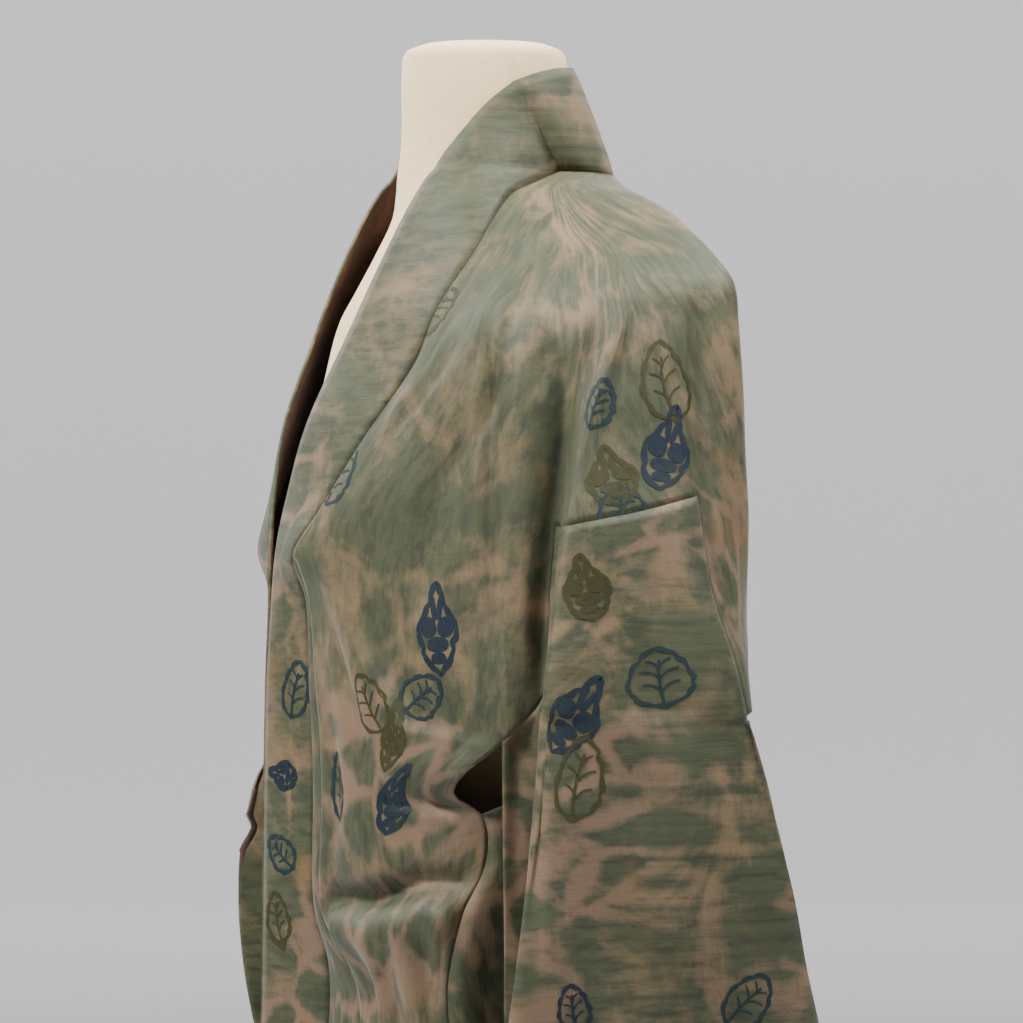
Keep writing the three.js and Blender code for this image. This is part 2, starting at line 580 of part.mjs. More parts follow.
// Solid through level rings, closed at both ends
function loftGeometry(rings) {
  const sides = rings[0].length;
  const positions = rings.flat().flatMap((p) => [p.x, p.y, p.z]);
  const index = [];
  for (let i = 0; i < rings.length - 1; i += 1) {
    for (let j = 0; j < sides; j += 1) {
      const a = i * sides + j;
      const b = i * sides + (j + 1) % sides;
      index.push(a, a + sides, b, b, a + sides, b + sides);
    }
  }
  const top = positions.length / 3;
  const lastRing = (rings.length - 1) * sides;
  const middle = (ring) => ring.reduce((sum, p) => sum.add(p), new THREE.Vector3()).divideScalar(sides);
  const topMiddle = middle(rings[0]);
  const lowMiddle = middle(rings[rings.length - 1]);
  positions.push(topMiddle.x, topMiddle.y, topMiddle.z + 4, lowMiddle.x, lowMiddle.y, lowMiddle.z);
  for (let j = 0; j < sides; j += 1) {
    const k = (j + 1) % sides;
    index.push(top, j, k, top + 1, lastRing + k, lastRing + j);
  }
  const geometry = new THREE.BufferGeometry();
  geometry.setAttribute('position', new THREE.Float32BufferAttribute(positions, 3));
  geometry.setIndex(index);
  geometry.computeVertexNormals();
  return geometry;
}

function formGeometry() {
  const rings = FORM.map(([z, half, middle, front, back]) => Array.from({ length: FORM_SIDES }, (_, k) => {
    const turn = 2 * Math.PI * k / FORM_SIDES;
    const trunk = Math.cos(turn) > 0 ? FORM_FRONT_ROUND : FORM_BACK_ROUND;
    const round = z > NECK_SEAM ? 2 : trunk;
    const power = (v) => Math.sign(v) * Math.abs(v) ** (2 / round);
    const x = half * power(Math.sin(turn));
    const c = power(-Math.cos(turn));
    const y = middle + (c < 0 ? (middle - front) * c : (back - middle) * c);
    return new THREE.Vector3(x, y, z);
  }));
  return loftGeometry(rings);
}

function add(group, name, geometry, material) {
  const mesh = new THREE.Mesh(geometry, material);
  mesh.name = name;
  group.add(mesh);
  return mesh;
}

const kimono = new THREE.Group();
const sides = [makeSide(1), makeSide(-1)];
const panels = [
  bodyPanel(sides[0], 'body_left'), bodyPanel(sides[1], 'body_right'),
  sleevePanel(sides[0], 'sleeve_left'), sleevePanel(sides[1], 'sleeve_right'),
  overlapPanel(sides[0], 'okumi_left'), overlapPanel(sides[1], 'okumi_right'),
  bandPanel(sides, 'collar'),
];
shareSeams(panels);
for (const panel of panels) add(kimono, panel.name, wallGeometry(panel), MATERIALS.silk);

add(kimono, 'dress_form', formGeometry(), MATERIALS.linen);
const poleTop = FORM_BOTTOM - JOIN_GAP;
const poleLow = BASE_HEIGHT + JOIN_GAP;
const pole = add(kimono, 'stand_pole',
  new THREE.CylinderGeometry(POLE_RADIUS, POLE_RADIUS, poleTop - poleLow, 24), MATERIALS.metal);
pole.rotation.x = Math.PI / 2;
pole.position.z = (poleTop + poleLow) / 2;
const base = add(kimono, 'stand_base',
  new THREE.CylinderGeometry(BASE_RADIUS - BASE_BEVEL, BASE_RADIUS, BASE_HEIGHT, 48), MATERIALS.metal);
base.rotation.x = Math.PI / 2;
base.position.z = BASE_HEIGHT / 2;

export default kimono;
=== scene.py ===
# %% [markdown]
# A kimono hanging open on a limbless dress form.
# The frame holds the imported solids; this script gives each of them its cloth, print and finish.
# Every sheet of cloth is one surface worked out from the same named lines as its solid, only finer.

# %% Load the frame
import math

import bpy
import numpy as np
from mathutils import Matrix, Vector


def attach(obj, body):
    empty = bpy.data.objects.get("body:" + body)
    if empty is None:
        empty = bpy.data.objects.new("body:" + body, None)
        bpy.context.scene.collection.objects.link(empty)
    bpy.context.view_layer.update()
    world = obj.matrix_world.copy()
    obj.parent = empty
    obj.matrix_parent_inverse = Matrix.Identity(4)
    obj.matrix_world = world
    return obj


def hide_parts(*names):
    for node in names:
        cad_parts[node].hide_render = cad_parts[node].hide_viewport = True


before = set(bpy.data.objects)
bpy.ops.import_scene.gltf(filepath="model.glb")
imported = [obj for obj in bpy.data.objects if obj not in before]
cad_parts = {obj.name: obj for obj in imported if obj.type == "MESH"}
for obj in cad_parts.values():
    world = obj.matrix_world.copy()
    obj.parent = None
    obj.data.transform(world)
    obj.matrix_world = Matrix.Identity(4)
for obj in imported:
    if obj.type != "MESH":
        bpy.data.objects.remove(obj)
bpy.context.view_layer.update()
print("solids in the frame:", sorted(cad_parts))

# %% [markdown]
# The sizes below are millimetres, as a maker would note them. The floor is z = 0, the wearer faces -Y
# and the wearer's left is +X. Heights name the seams and edges of the real garment.

# %% Driving sizes
MM = 0.001
CLOTH = 1.5
BAND = 2.6
NECK_SEAM = 1507.0
ARM_SEAM = 1273.0
ARM_END = 1141.0
SIDE_TOP = 1073.0
OVERLAP_TOP = 1243.0
BAND_END = 640.0
CUFF = 905.0
BAG_TOP = 880.0
BAG_FOLD = 636.0
HEM = 52.0
NAPE_RADIUS = 62.3
NAPE_TOP = 1582.0
NAPE_DROP = 14.0
SLANT_REACH = 25.0
NEAR = 1e-6

# %% [markdown]
# A draped cloth can be described by the lines that show in it: a seam, the crest of a fold, a valley.
# Each table follows one such line down the left half, with rows of height, x and y. A level of the
# cloth is then a smooth curve through the lines at that height, which keeps creases where they are.
# The free edge of the collar band has one more column: the height that the edge itself has there.

# %% Lines of the drape
LINES = {
    "collar_seam": [[1507, 60, 38], [1498, 74, 16], [1490, 86, -2], [1470, 103, -21], [1450, 113, -35],
                    [1409, 120, -64], [1371, 117, -80], [1316, 98, -113], [1271, 76, -137],
                    [1243, 57, -149], [1212, 45, -137], [1150, 43, -133], [1100, 42, -131],
                    [1003, 44, -130], [960, 50, -122], [900, 50, -124], [640, 50, -134]],
    "overlap_seam": [[1243, 59, -148.2], [1212, 54, -138], [1150, 60, -134], [1079, 64, -131],
                     [1003, 66, -131], [950, 92, -112], [880, 98, -114], [750, 108, -122],
                     [500, 128, -128], [250, 148, -130], [52, 162, -128]],
    "front_bulge": [[1507, 60.5, 41], [1498, 75.5, 19], [1490, 88, 3], [1476, 102, -9], [1462, 112, -19],
                    [1447, 122, -28], [1427, 130, -43], [1400, 138, -62], [1362, 136, -81],
                    [1308, 122, -107], [1270, 110, -122], [1214, 108, -121], [1141, 112, -116],
                    [1073, 116, -112], [1032, 120, -108], [1017, 121, -104], [1000, 124, -109],
                    [940, 130, -104], [850, 134, -106], [600, 150, -112], [300, 172, -108],
                    [52, 186, -102]],
    "side_fold": [[1507, 60.5, 45], [1498, 77, 23], [1490, 89.5, 10], [1476, 106, 1], [1462, 119, -8],
                  [1447, 133, -15], [1427, 149, -24], [1400, 166, -37], [1362, 178, -39],
                  [1308, 184, -40], [1270, 187, -40], [1214, 191, -39], [1141, 194, -37],
                  [1122, 192, -38], [1100, 177, -60], [1085, 166, -64], [1073, 170, -46],
                  [1041, 172, -44], [1006, 172, -60], [950, 172, -70], [850, 174, -55],
                  [600, 190, -35], [300, 206, -20], [52, 216, -10]],
    "valley": [[1507, 60, 50], [1498, 78.5, 29], [1490, 90, 19], [1476, 109, 13], [1462, 124, 6],
               [1447, 141, 2], [1427, 163, -2], [1400, 188, 2], [1362, 197, 4], [1308, 198, -1],
               [1270, 199, -6], [1214, 200, -10], [1141, 200, -12], [1000, 203, -13], [880, 207, -12]],
    "cap_front": [[1507, 59, 55], [1498, 79.5, 36], [1490, 93, 32], [1476, 115, 34], [1462, 133, 42],
                  [1447, 152, 53], [1427, 178, 49], [1400, 192, 44], [1362, 202, 28], [1308, 212, 11],
                  [1270, 221.5, 1.5], [1214, 227, -9], [1175, 233, -16], [1121, 238, -22],
                  [1048, 243, -31], [981, 248, -41], [905, 252, -50], [880, 252, -54]],
    "cap_middle": [[1507, 57, 61], [1498, 79, 48], [1490, 96, 49], [1476, 122, 55], [1462, 142, 64],
                   [1447, 159, 76], [1427, 184, 72], [1400, 195, 70], [1362, 204, 60], [1308, 213, 50],
                   [1270, 223, 47], [1175, 235, 48], [1034, 246, 58], [880, 248, 62]],
    "cap_back": [[1507, 52, 68], [1498, 77, 60], [1490, 98, 66], [1476, 128, 76], [1462, 148, 86],
                 [1447, 162, 97], [1427, 184, 96], [1400, 192, 94], [1362, 199, 90.5], [1308, 208, 90],
                 [1270, 215, 93], [1214, 223.5, 100], [1175, 228, 111], [1134, 228, 120.6],
                 [1087, 228, 133], [1034, 226, 148], [981, 222, 160], [932, 218, 172], [880, 213, 181]],
    "back_corner": [[1507, 42, 78], [1498, 66, 77], [1490, 92, 85], [1476, 124, 98], [1462, 143, 107],
                    [1447, 158, 117], [1427, 175, 126], [1400, 181, 128], [1362, 185, 130],
                    [1308, 186, 131], [1214, 187, 131], [1141, 188, 129], [1110, 172, 119],
                    [1073, 163, 110], [980, 160, 108], [880, 166, 118], [600, 182, 132],
                    [300, 200, 146], [52, 212, 154]],
    "back_blade": [[1507, 22, 88], [1498, 40, 91], [1490, 50, 98], [1476, 62, 108], [1462, 71, 115],
                   [1447, 78, 119], [1427, 84, 123], [1400, 88, 126], [1308, 86, 128], [1141, 86, 124],
                   [1073, 84, 112], [980, 84, 112], [880, 88, 124], [600, 96, 140], [52, 112, 164]],
    "back_seam": [[1507, 0, 92], [1498, 0, 97], [1490, 0, 101], [1476, 0, 106], [1447, 0, 113],
                  [1400, 0, 119], [1308, 0, 122], [1141, 0, 114], [1073, 0, 100], [980, 0, 104],
                  [880, 0, 118], [600, 0, 134], [52, 0, 160]],
    "sleeve_edge": [[1141, 194, -37], [1122, 192, -38], [1000, 196, -38], [880, 196, -38]],
    "sleeve_back": [[1118, 212, 124], [1087, 208, 136], [1034, 204, 150], [981, 200, 162],
                    [932, 196, 170], [880, 192, 176]],
    "sleeve_inside": [[1118, 196, 70], [1034, 188, 62], [880, 187, 60]],
}
RIGHT_LINES = dict(LINES)
RIGHT_LINES["cap_front"] = LINES["cap_front"][:12] + [
    [1175, 233, -16], [1141, 234, -24], [1118, 230, -52], [1095, 223, -106], [1051, 220, -125],
    [1040, 220, -121], [1020, 220, -129], [905, 220, -124], [880, 220, -122]]
RIGHT_LINES["valley"] = LINES["valley"][:12] + [
    [1141, 200, -12], [1100, 203, -22], [1051, 206, -56], [905, 207, -74], [880, 207, -74]]
RIGHT_LINES["cap_middle"] = LINES["cap_middle"][:11] + [
    [1175, 234, 40], [1100, 238, 24], [1034, 240, 14], [880, 242, 16]]
RIGHT_LINES["cap_back"] = LINES["cap_back"][:13] + [
    [1134, 227, 116], [1087, 225, 122], [1034, 222, 128], [981, 218, 132], [880, 212, 140]]
RIGHT_LINES["sleeve_back"] = [[1118, 211, 119], [1087, 206, 125], [1034, 200, 132], [880, 192, 136]]
RIGHT_LINES["sleeve_inside"] = [[1118, 196, 62], [1034, 189, 40], [880, 188, 30]]
BAND_EDGE = [[1507, 62.2, 4, 1568], [1498, 64, -14, 1554], [1490, 65, -30, 1537],
             [1470, 67, -55, 1506], [1450, 67, -72, 1479], [1409, 62, -95, 1431],
             [1371, 54, -112, 1391], [1316, 38, -136, 1332], [1271, 21, -147, 1279],
             [1243, 9.5, -151, 1247], [1212, 5, -153, 1214], [1150, 2.6, -156, 1150],
             [1003, 2.6, -158, 1003], [620, 2.6, -162, 620]]
print("lines of the drape:", len(LINES))

# %% [markdown]
# Folds are soft troughs and ridges laid on that surface. Each row gives the place across the cloth at
# the top and at the bottom, the heights of both ends, the depth out of the cloth and the half width.
# Place numbers count the lines: 0 collar seam, 1 front, 2 side, 3 valley, 4 to 6 shoulder cap,
# 7 back corner, 8 shoulder blade and 9 the centre-back seam.

# %% Folds
FOLDS = [
    # top, low, from, to, depth, width
    (2.5, 2.5, 1400, 1120, 5, 11),
    (1.6, 0.7, 1440, 1260, -4, 13),
    (1.9, 1.35, 1390, 1180, -4, 13),
    (6.18, 6.25, 1055, 760, -13, 14),
    (0.55, 0.5, 960, HEM, 11, 26),
    (1.3, 1.35, 900, HEM, -14, 24),
    (1.75, 1.7, 860, HEM, 12, 24),
    (6.55, 6.5, 820, HEM, 14, 26),
    (7.3, 7.2, 840, HEM, -15, 24),
    (7.8, 7.75, 860, HEM, 12, 26),
    (8.5, 8.45, 880, HEM, -14, 28),
]
CREASES = [
    (1.95, 1.95, 1420, 1160, -6, 6),
    (2.95, 2.95, 1470, 1150, -8, 8),
    (4.0, 4.0, 1462, 1290, 4.5, 7),
    (6.05, 6.05, 1430, 1160, -4.5, 5),
    (1.2, 0.25, 1480, 1385, -3.2, 5),
    (1.75, 0.55, 1486, 1345, -3.8, 6),
    (2.3, 1.0, 1478, 1310, 3.0, 7),
    (2.75, 1.6, 1470, 1290, -3.4, 6),
    (3.4, 2.55, 1468, 1345, -3.2, 5),
    (3.8, 3.2, 1462, 1370, 2.8, 6),
    (0.35, 1.15, 1225, 1090, -4.6, 9),
    (0.9, 1.6, 1200, 1085, 3.4, 9),
    (1.5, 1.85, 1180, 1090, -3.8, 6),
    (1.25, 1.9, 1120, 1060, -3.6, 6),
    (0.35, 0.25, 1160, 1010, -4.4, 8),
    (1.35, 1.6, 1010, 930, 6.5, 9),
    (1.55, 1.8, 1012, 925, -6.0, 8),
    (0.5, 0.75, 990, 900, -6.5, 11),
    (0.95, 1.05, 1000, 880, 5.0, 9),
    (1.15, 1.2, 985, 860, -5.0, 7),
    (7.2, 7.6, 1430, 1200, -2.6, 10),
    (7.7, 8.4, 1380, 1140, 2.6, 12),
    (8.3, 7.4, 1180, 1010, -3.0, 10),
    (6.7, 7.1, 1350, 1170, 2.4, 9),
]
HIP_CREASE = {"front": 1004, "side": 1032, "depth": -10, "width": 8, "swell": 7, "drop": 25}
RUMPLE = 0.55
# Places across, and how far a level at the armhole or at its lower end is raised there
ARM_SLANT = ([2, 3, 4, 5, 6, 7], [0, -10, -9, 0, 11, 0])
ARM_END_SLANT = ([1, 2, 3, 4], [0, -19, 11, 0])
print("folds:", len(FOLDS), "creases:", len(CREASES))

# %% [markdown]
# Two helpers read the tables: one goes down a line and one goes across a level. Both are cubic
# Hermite curves whose slope at a row is the slope between its two neighbours, worked out for all
# points of a grid at once.

# %% Curve helpers


def hermite(a, b, slope_a, slope_b, t):
    """Cubic from a to b with the given end slopes, at fraction t."""
    t2, t3 = t * t, t * t * t
    first = a * (2 * t3 - 3 * t2 + 1) + slope_a * (t3 - 2 * t2 + t)
    return first + b * (3 * t2 - 2 * t3) + slope_b * (t3 - t2)


def along(rows, z):
    """Value columns of a table at heights z: a smooth curve through its rows."""
    table = np.array(rows, float)
    heights, values = table[:, 0], table[:, 1:]
    last = len(heights) - 1
    before = np.maximum(np.arange(last + 1) - 1, 0)
    after = np.minimum(np.arange(last + 1) + 1, last)
    slopes = (values[after] - values[before]) / (heights[before] - heights[after])[:, None]
    z = np.clip(z, heights[-1], heights[0])
    k = np.clip(np.searchsorted(-heights, -z, side="right") - 1, 0, last - 1)
    span = heights[k] - heights[k + 1]
    t = ((heights[k] - z) / span)[..., None]
    return hermite(values[k], values[k + 1], slopes[k] * span[..., None], slopes[k + 1] * span[..., None], t)


def across(guides, place):
    """Point of each level's curve through its guide points, at a guide number with a fraction."""
    last = len(guides) - 1
    reach = np.linalg.norm(np.diff(guides, axis=0), axis=-1)
    slopes = np.empty_like(guides)
    slopes[0] = (guides[1] - guides[0]) / np.maximum(reach[0], NEAR)[..., None]
    slopes[-1] = (guides[-1] - guides[-2]) / np.maximum(reach[-1], NEAR)[..., None]
    slopes[1:-1] = (guides[2:] - guides[:-2]) / np.maximum(reach[1:] + reach[:-1], NEAR)[..., None]
    k = np.clip(np.floor(place).astype(int), 0, last - 1)
    t = (place - k)[..., None]

    def pick(block, index):
        """Values of a block at each point's own guide number."""
        return np.take_along_axis(block, index[None, ..., None].repeat(block.shape[-1], -1), 0)[0]

    span = np.take_along_axis(reach, k[None], 0)[0][..., None]
    slope_a, slope_b = pick(slopes, k) * span, pick(slopes, k + 1) * span
    return hermite(pick(guides, k), pick(guides, k + 1), slope_a, slope_b, t)


def ramp(x, a, b):
    """0 at a, 1 at b, straight between."""
    return np.clip((x - a) / (b - a), 0, 1)


def ease(x):
    """Smooth step of a ramp."""
    return x * x * (3 - 2 * x)


def bell(x):
    """Soft bump, 1 in the middle."""
    return np.exp(-x * x)


def unit(vectors):
    """The same directions with length one."""
    return vectors / np.maximum(np.linalg.norm(vectors, axis=-1, keepdims=True), NEAR)


def spread(values, step):
    """Levels or places that keep every given value and fill the stretches between evenly."""
    parts = [np.linspace(a, b, max(int(round(abs(b - a) / step)), 1), endpoint=False)
             for a, b in zip(values[:-1], values[1:])]
    return np.concatenate(parts + [np.array(values[-1:])])


# %% [markdown]
# The body of a kimono is cut as one strip a side, from the front hem over the shoulder to the back
# hem. Here it is a grid of levels and places. Above the end of the armhole a level runs from the
# collar seam round the shoulder to the centre back; below it the cloth swings in under the sleeve.

# %% Body surface
# Step to each side for the outward direction, and the last place that a fold may move
NUDGE, CENTRE_HELD = 0.02, 8.9
# How far apart the two cloths stay where the sleeve's bag is folded shut
FOLD_APART = 2.4
SLEEVE_WAVE, SLEEVE_RIPPLE, SLEEVE_GROOVE, SLEEVE_RUMPLE = 2.2, 1.4, -3.0, 0.5


class Side:
    """One half of the garment; sign is +1 on the wearer's left and -1 on the right."""

    def __init__(self, sign):
        self.sign = sign
        self.lines = LINES if sign > 0 else RIGHT_LINES
        self.cuff_slant = ([2, 9], [0, 0]) if sign > 0 else ([2, 3, 4, 5, 6, 7], [60, 80, 107, 62, 30, 30])

    def read(self, name, z):
        """Points of one line of the drape at heights z."""
        return along(self.lines[name], z)

    def height(self, level, place):
        """Real height of a level: it slants where it meets the armhole and the side opening."""
        arm = np.interp(place, *ARM_SLANT) * bell((level - ARM_SEAM) / SLANT_REACH)
        end = np.interp(place, *ARM_END_SLANT) * bell((level - ARM_END) / SLANT_REACH)
        return level + arm + end

    def guides(self, z):
        """The three kinds of level: with the cap, with the side opening, and closed at the side."""
        above = (z >= OVERLAP_TOP)[..., None]
        inner = np.where(above, self.read("collar_seam", z), self.read("overlap_seam", z))
        front = [inner, self.read("front_bulge", z), self.read("side_fold", z)]
        back = [self.read("back_corner", z), self.read("back_blade", z), self.read("back_seam", z)]
        cap = [self.read(n, z) for n in ("valley", "cap_front", "cap_middle", "cap_back")]
        t = ramp(z, ARM_END, SIDE_TOP)[..., None]
        start = self.read("cap_back", np.full_like(z, ARM_END))
        end = self.read("side_fold", np.minimum(z, SIDE_TOP))
        free = np.concatenate([start[..., :1] + (end - start)[..., :1] * t * t,
                               start[..., 1:] + (end - start)[..., 1:] * t], -1)
        return np.array(front + cap + back), np.array(front + [free] + back), np.array(front + back)

    def flat(self, stacks, level, place):
        """Points without folds, each from the kind of level that it lies on."""
        top, middle, low = stacks
        a = across(top, place)
        b = across(middle, np.where(place <= 2, place, np.maximum(place - 3, 2)))
        c = across(low, np.where(place <= 2, place, np.maximum(place - 4, 2)))
        level = level[..., None]
        return np.where(level >= ARM_END, a, np.where(level > SIDE_TOP, b, c))

    def body(self, levels, places):
        """Grid of body points: level curve plus folds pushed along the level's outward direction."""
        level, place = np.meshgrid(levels, places, indexing="ij")
        z = self.height(level, place)
        stacks = self.guides(z)
        xy = self.flat(stacks, level, place)
        below = level < ARM_END
        lo = np.maximum(place - NUDGE, np.where(below & (place >= 6), 6, 0))
        hi = np.minimum(place + NUDGE, np.where(below & (place <= 2), 2, 9))
        run = unit(self.flat(stacks, level, hi) - self.flat(stacks, level, lo))
        out = np.stack([run[..., 1], -run[..., 0]], -1)
        amount = np.zeros_like(z)
        for top, low, start, end, depth, width in FOLDS + CREASES:
            t = ramp(z, start, end)
            centre = self.flat(stacks, level, top + (low - top) * t)
            away = np.linalg.norm(centre - xy, axis=-1) / width
            grow = ease(t) * 0.6 + 0.4 * t if end == HEM else np.sin(np.pi * t)
            same = ~below | ((top < 5) == (place < 5))
            amount += depth * grow * bell(away) * same * (z <= start) * (z >= end - 1)
        crease = HIP_CREASE["front"] + (HIP_CREASE["side"] - HIP_CREASE["front"]) * place / 2
        crease += 3.5 * np.sin(place * 5.5)
        fade = ease(ramp(place, 0, 0.25)) * (below & (place <= 2))
        width = HIP_CREASE["width"]
        amount += fade * HIP_CREASE["depth"] * bell((z - crease) / width)
        amount += fade * HIP_CREASE["swell"] * bell((z - crease + HIP_CREASE["drop"]) / (2 * width))
        rumple = np.sin(z / 31 + place * 3.1) * np.sin(place * 4.3 + z / 77)
        rumple += 0.5 * np.sin(z / 13 + place * 7)
        amount += RUMPLE * rumple * ease(ramp(z, 1480, 1380)) * ease(ramp(9 - place, 0, 0.4))
        # Nothing is pushed at the side seam, so that front and back stay joined there
        beside_seam = np.where(place < 4, 2 - place, place - 6)
        held = ease(ramp(beside_seam, 0, 0.22)) + (1 - ease(ramp(level, SIDE_TOP + 8, SIDE_TOP - 40)))
        amount *= np.where(below, np.minimum(held, 1), 1)
        xy = xy + out * (amount * (place <= CENTRE_HELD))[..., None]
        return np.stack([self.sign * xy[..., 0], xy[..., 1], z], -1)

    def sleeve(self, levels, places):
        """Grid of sleeve points: the cap goes on down, turns in at the back and closes to a bag."""
        level, place = np.meshgrid(levels, places, indexing="ij")
        slant = np.interp(place, *self.cuff_slant) * np.sin(np.pi * ramp(level, ARM_END, BAG_FOLD) ** 1.2)
        z = self.height(level, np.minimum(place, 6)) + slant
        zr = np.maximum(z, BAG_TOP)
        names = ("sleeve_edge", "valley", "cap_front", "cap_middle", "cap_back", "sleeve_back",
                 "sleeve_inside")
        outer = [self.read(n, zr) for n in names]
        xy = across(np.array(outer + [outer[0]]), place - 2)
        start = self.read("valley", np.full_like(z, BAG_TOP))
        end = self.read("cap_back", np.full_like(z, BAG_TOP))
        folded = np.interp(place, [2, 3, 6, 9], [0.3, 0, 1, 0.3])[..., None]
        apart = FOLD_APART * np.interp(place, [2, 3, 4.5, 6, 7.5, 9], [-0.7, 0, 1, 0, -1, -0.7])[..., None]
        fold = np.concatenate([(start + end)[..., :1] / 2 + 6 + apart,
                               start[..., 1:] - 16 + (end - start)[..., 1:] * folded + 2 * folded], -1)
        narrow = (ramp(level, BAG_TOP, BAG_FOLD) ** 2.2)[..., None]
        xy = xy + (fold - xy) * narrow
        run = unit(np.gradient(xy, axis=1))
        out = np.stack([run[..., 1], -run[..., 0]], -1)
        hang = ease(ramp(level, ARM_SEAM, 1100)) * (1 - narrow[..., 0])
        amount = SLEEVE_WAVE * hang * np.sin(place * 3.4 + z / 120)
        amount += SLEEVE_RIPPLE * hang * np.sin(place * 7.1 - z / 64)
        amount += SLEEVE_GROOVE * bell((place - 3.7 - 0.6 * ramp(z, 1200, 900)) / 0.1) * hang
        amount += SLEEVE_RUMPLE * hang * np.sin(z / 17 + place * 6)
        amount *= ease(ramp(place, 2, 2.4)) * ease(ramp(9 - place, 0, 0.4))
        xy = xy + out * amount[..., None]
        points = np.stack([self.sign * xy[..., 0], xy[..., 1], z], -1)
        cap = self.body(levels, np.minimum(places, 6))
        return np.where((level >= ARM_END)[..., None], cap, points)


LEVELS = np.concatenate([spread([NECK_SEAM, 1490, 1447, 1400], 3.0)[:-1],
                         spread([1400, ARM_SEAM, OVERLAP_TOP, ARM_END, SIDE_TOP, 980], 5.0)[:-1],
                         spread([980, 800, BAND_END, BAND_END - 20, HEM], 12.0)])
PLACES = np.concatenate([spread([0, 2, 3, 4], 1 / 22)[:-1], spread([4, 6, 7, 9], 1 / 15)])
left, right = Side(1), Side(-1)
print("levels", len(LEVELS), "places", len(PLACES))

# %% [markdown]
# A panel's grid becomes a mesh: its squares are kept where there is cloth, so that the neck, armhole
# and side opening stay open. The map in metres on each panel follows the weave: one unit across is a
# metre of cloth. Solidify gives the cloth its thickness inwards, with the lining on the inner face.

# %% Panel helper
THREAD_EVEN = 60


def grid_mesh(name, points, keep, flip, turned=False):
    """Mesh of a grid in millimetres with the kept squares and a cloth map in metres."""
    rows, cols = points.shape[:2]
    ids = np.arange(rows * cols).reshape(rows, cols)
    quads = np.stack([ids[:-1, :-1], ids[1:, :-1], ids[1:, 1:], ids[:-1, 1:]], -1)[keep]
    if flip:
        quads = quads[:, ::-1]
    used, packed = np.unique(quads, return_inverse=True)
    quads = packed.reshape(quads.shape)
    step_across = np.linalg.norm(np.diff(points, axis=1), axis=-1)
    u = np.concatenate([np.zeros((rows, 1)), np.cumsum(step_across, axis=1)], 1)
    whole = u[rows // 4, -1]
    swap = ease(ramp(np.arange(cols), 0.42 * cols, 0.58 * cols))
    u = u * (1 - swap) + (whole - u[:, -1:] + u) * swap
    padded = np.pad(u, ((THREAD_EVEN, THREAD_EVEN), (0, 0)), mode="edge")
    total = np.concatenate([np.zeros((1, cols)), np.cumsum(padded, axis=0)])
    u = (total[2 * THREAD_EVEN + 1:] - total[:-2 * THREAD_EVEN - 1]) / (2 * THREAD_EVEN + 1)
    v = points[..., 2] + 0.0 * u
    pair = np.stack([v, u] if turned else [u, v], -1).reshape(-1, 2)[used] * MM
    mesh = bpy.data.meshes.new(name)
    mesh.from_pydata((points.reshape(-1, 3)[used] * MM).tolist(), [], quads.tolist())
    layer = mesh.uv_layers.new(name="cloth")
    layer.data.foreach_set("uv", pair[quads.reshape(-1)].reshape(-1).astype(np.float32))
    mesh.polygons.foreach_set("use_smooth", np.ones(len(quads), bool))
    mesh.update()
    piece = bpy.data.objects.new(name, mesh)
    bpy.context.collection.objects.link(piece)
    return piece


def cloth_wall(piece, thickness, outer, inner):
    """Thickness inwards and a second material on the inner face."""
    piece.data.materials.append(outer)
    piece.data.materials.append(inner)
    wall = piece.modifiers.new("thickness", "SOLIDIFY")
    wall.thickness = thickness * MM
    wall.offset = -1
    wall.use_even_offset = False
    wall.material_offset = 1
    wall.material_offset_rim = 0
    return piece


# %% [markdown]
# Shader maths reads better as sums and products. This small class wraps one socket; an expression on
# two of them adds the Math nodes. Every other node comes from one method that sets the node up first.

# %% Shader helper


class Value:
    """A number socket that can be used in Python sums."""

    def __init__(self, shader, socket):
        self.shader, self.socket = shader, socket

    def _math(self, operation, *parts):
        inputs = {i: getattr(p, "socket", p) for i, p in enumerate(parts)}
        return self.shader.node("ShaderNodeMath", {"operation": operation}, inputs).out()

    def __add__(self, other):
        return self._math("ADD", self, other)

    def __radd__(self, other):
        return self._math("ADD", other, self)

    def __sub__(self, other):
        return self._math("SUBTRACT", self, other)

    def __rsub__(self, other):
        return self._math("SUBTRACT", other, self)

    def __mul__(self, other):
        return self._math("MULTIPLY", self, other)

    def __rmul__(self, other):
        return self._math("MULTIPLY", other, self)

    def smooth(self, low, high):
        """0 below low, 1 above high, smooth between."""
        settings = {"interpolation_type": "SMOOTHSTEP"}
        inputs = {"Value": self.socket, "From Min": low, "From Max": high}
        return self.shader.node("ShaderNodeMapRange", settings, inputs).out("Result")


class Made:
    """A node that has been set up; out gives one of its sockets."""

    def __init__(self, shader, node):
        self.shader, self.node = shader, node

    def out(self, name=0):
        return Value(self.shader, self.node.outputs[name])


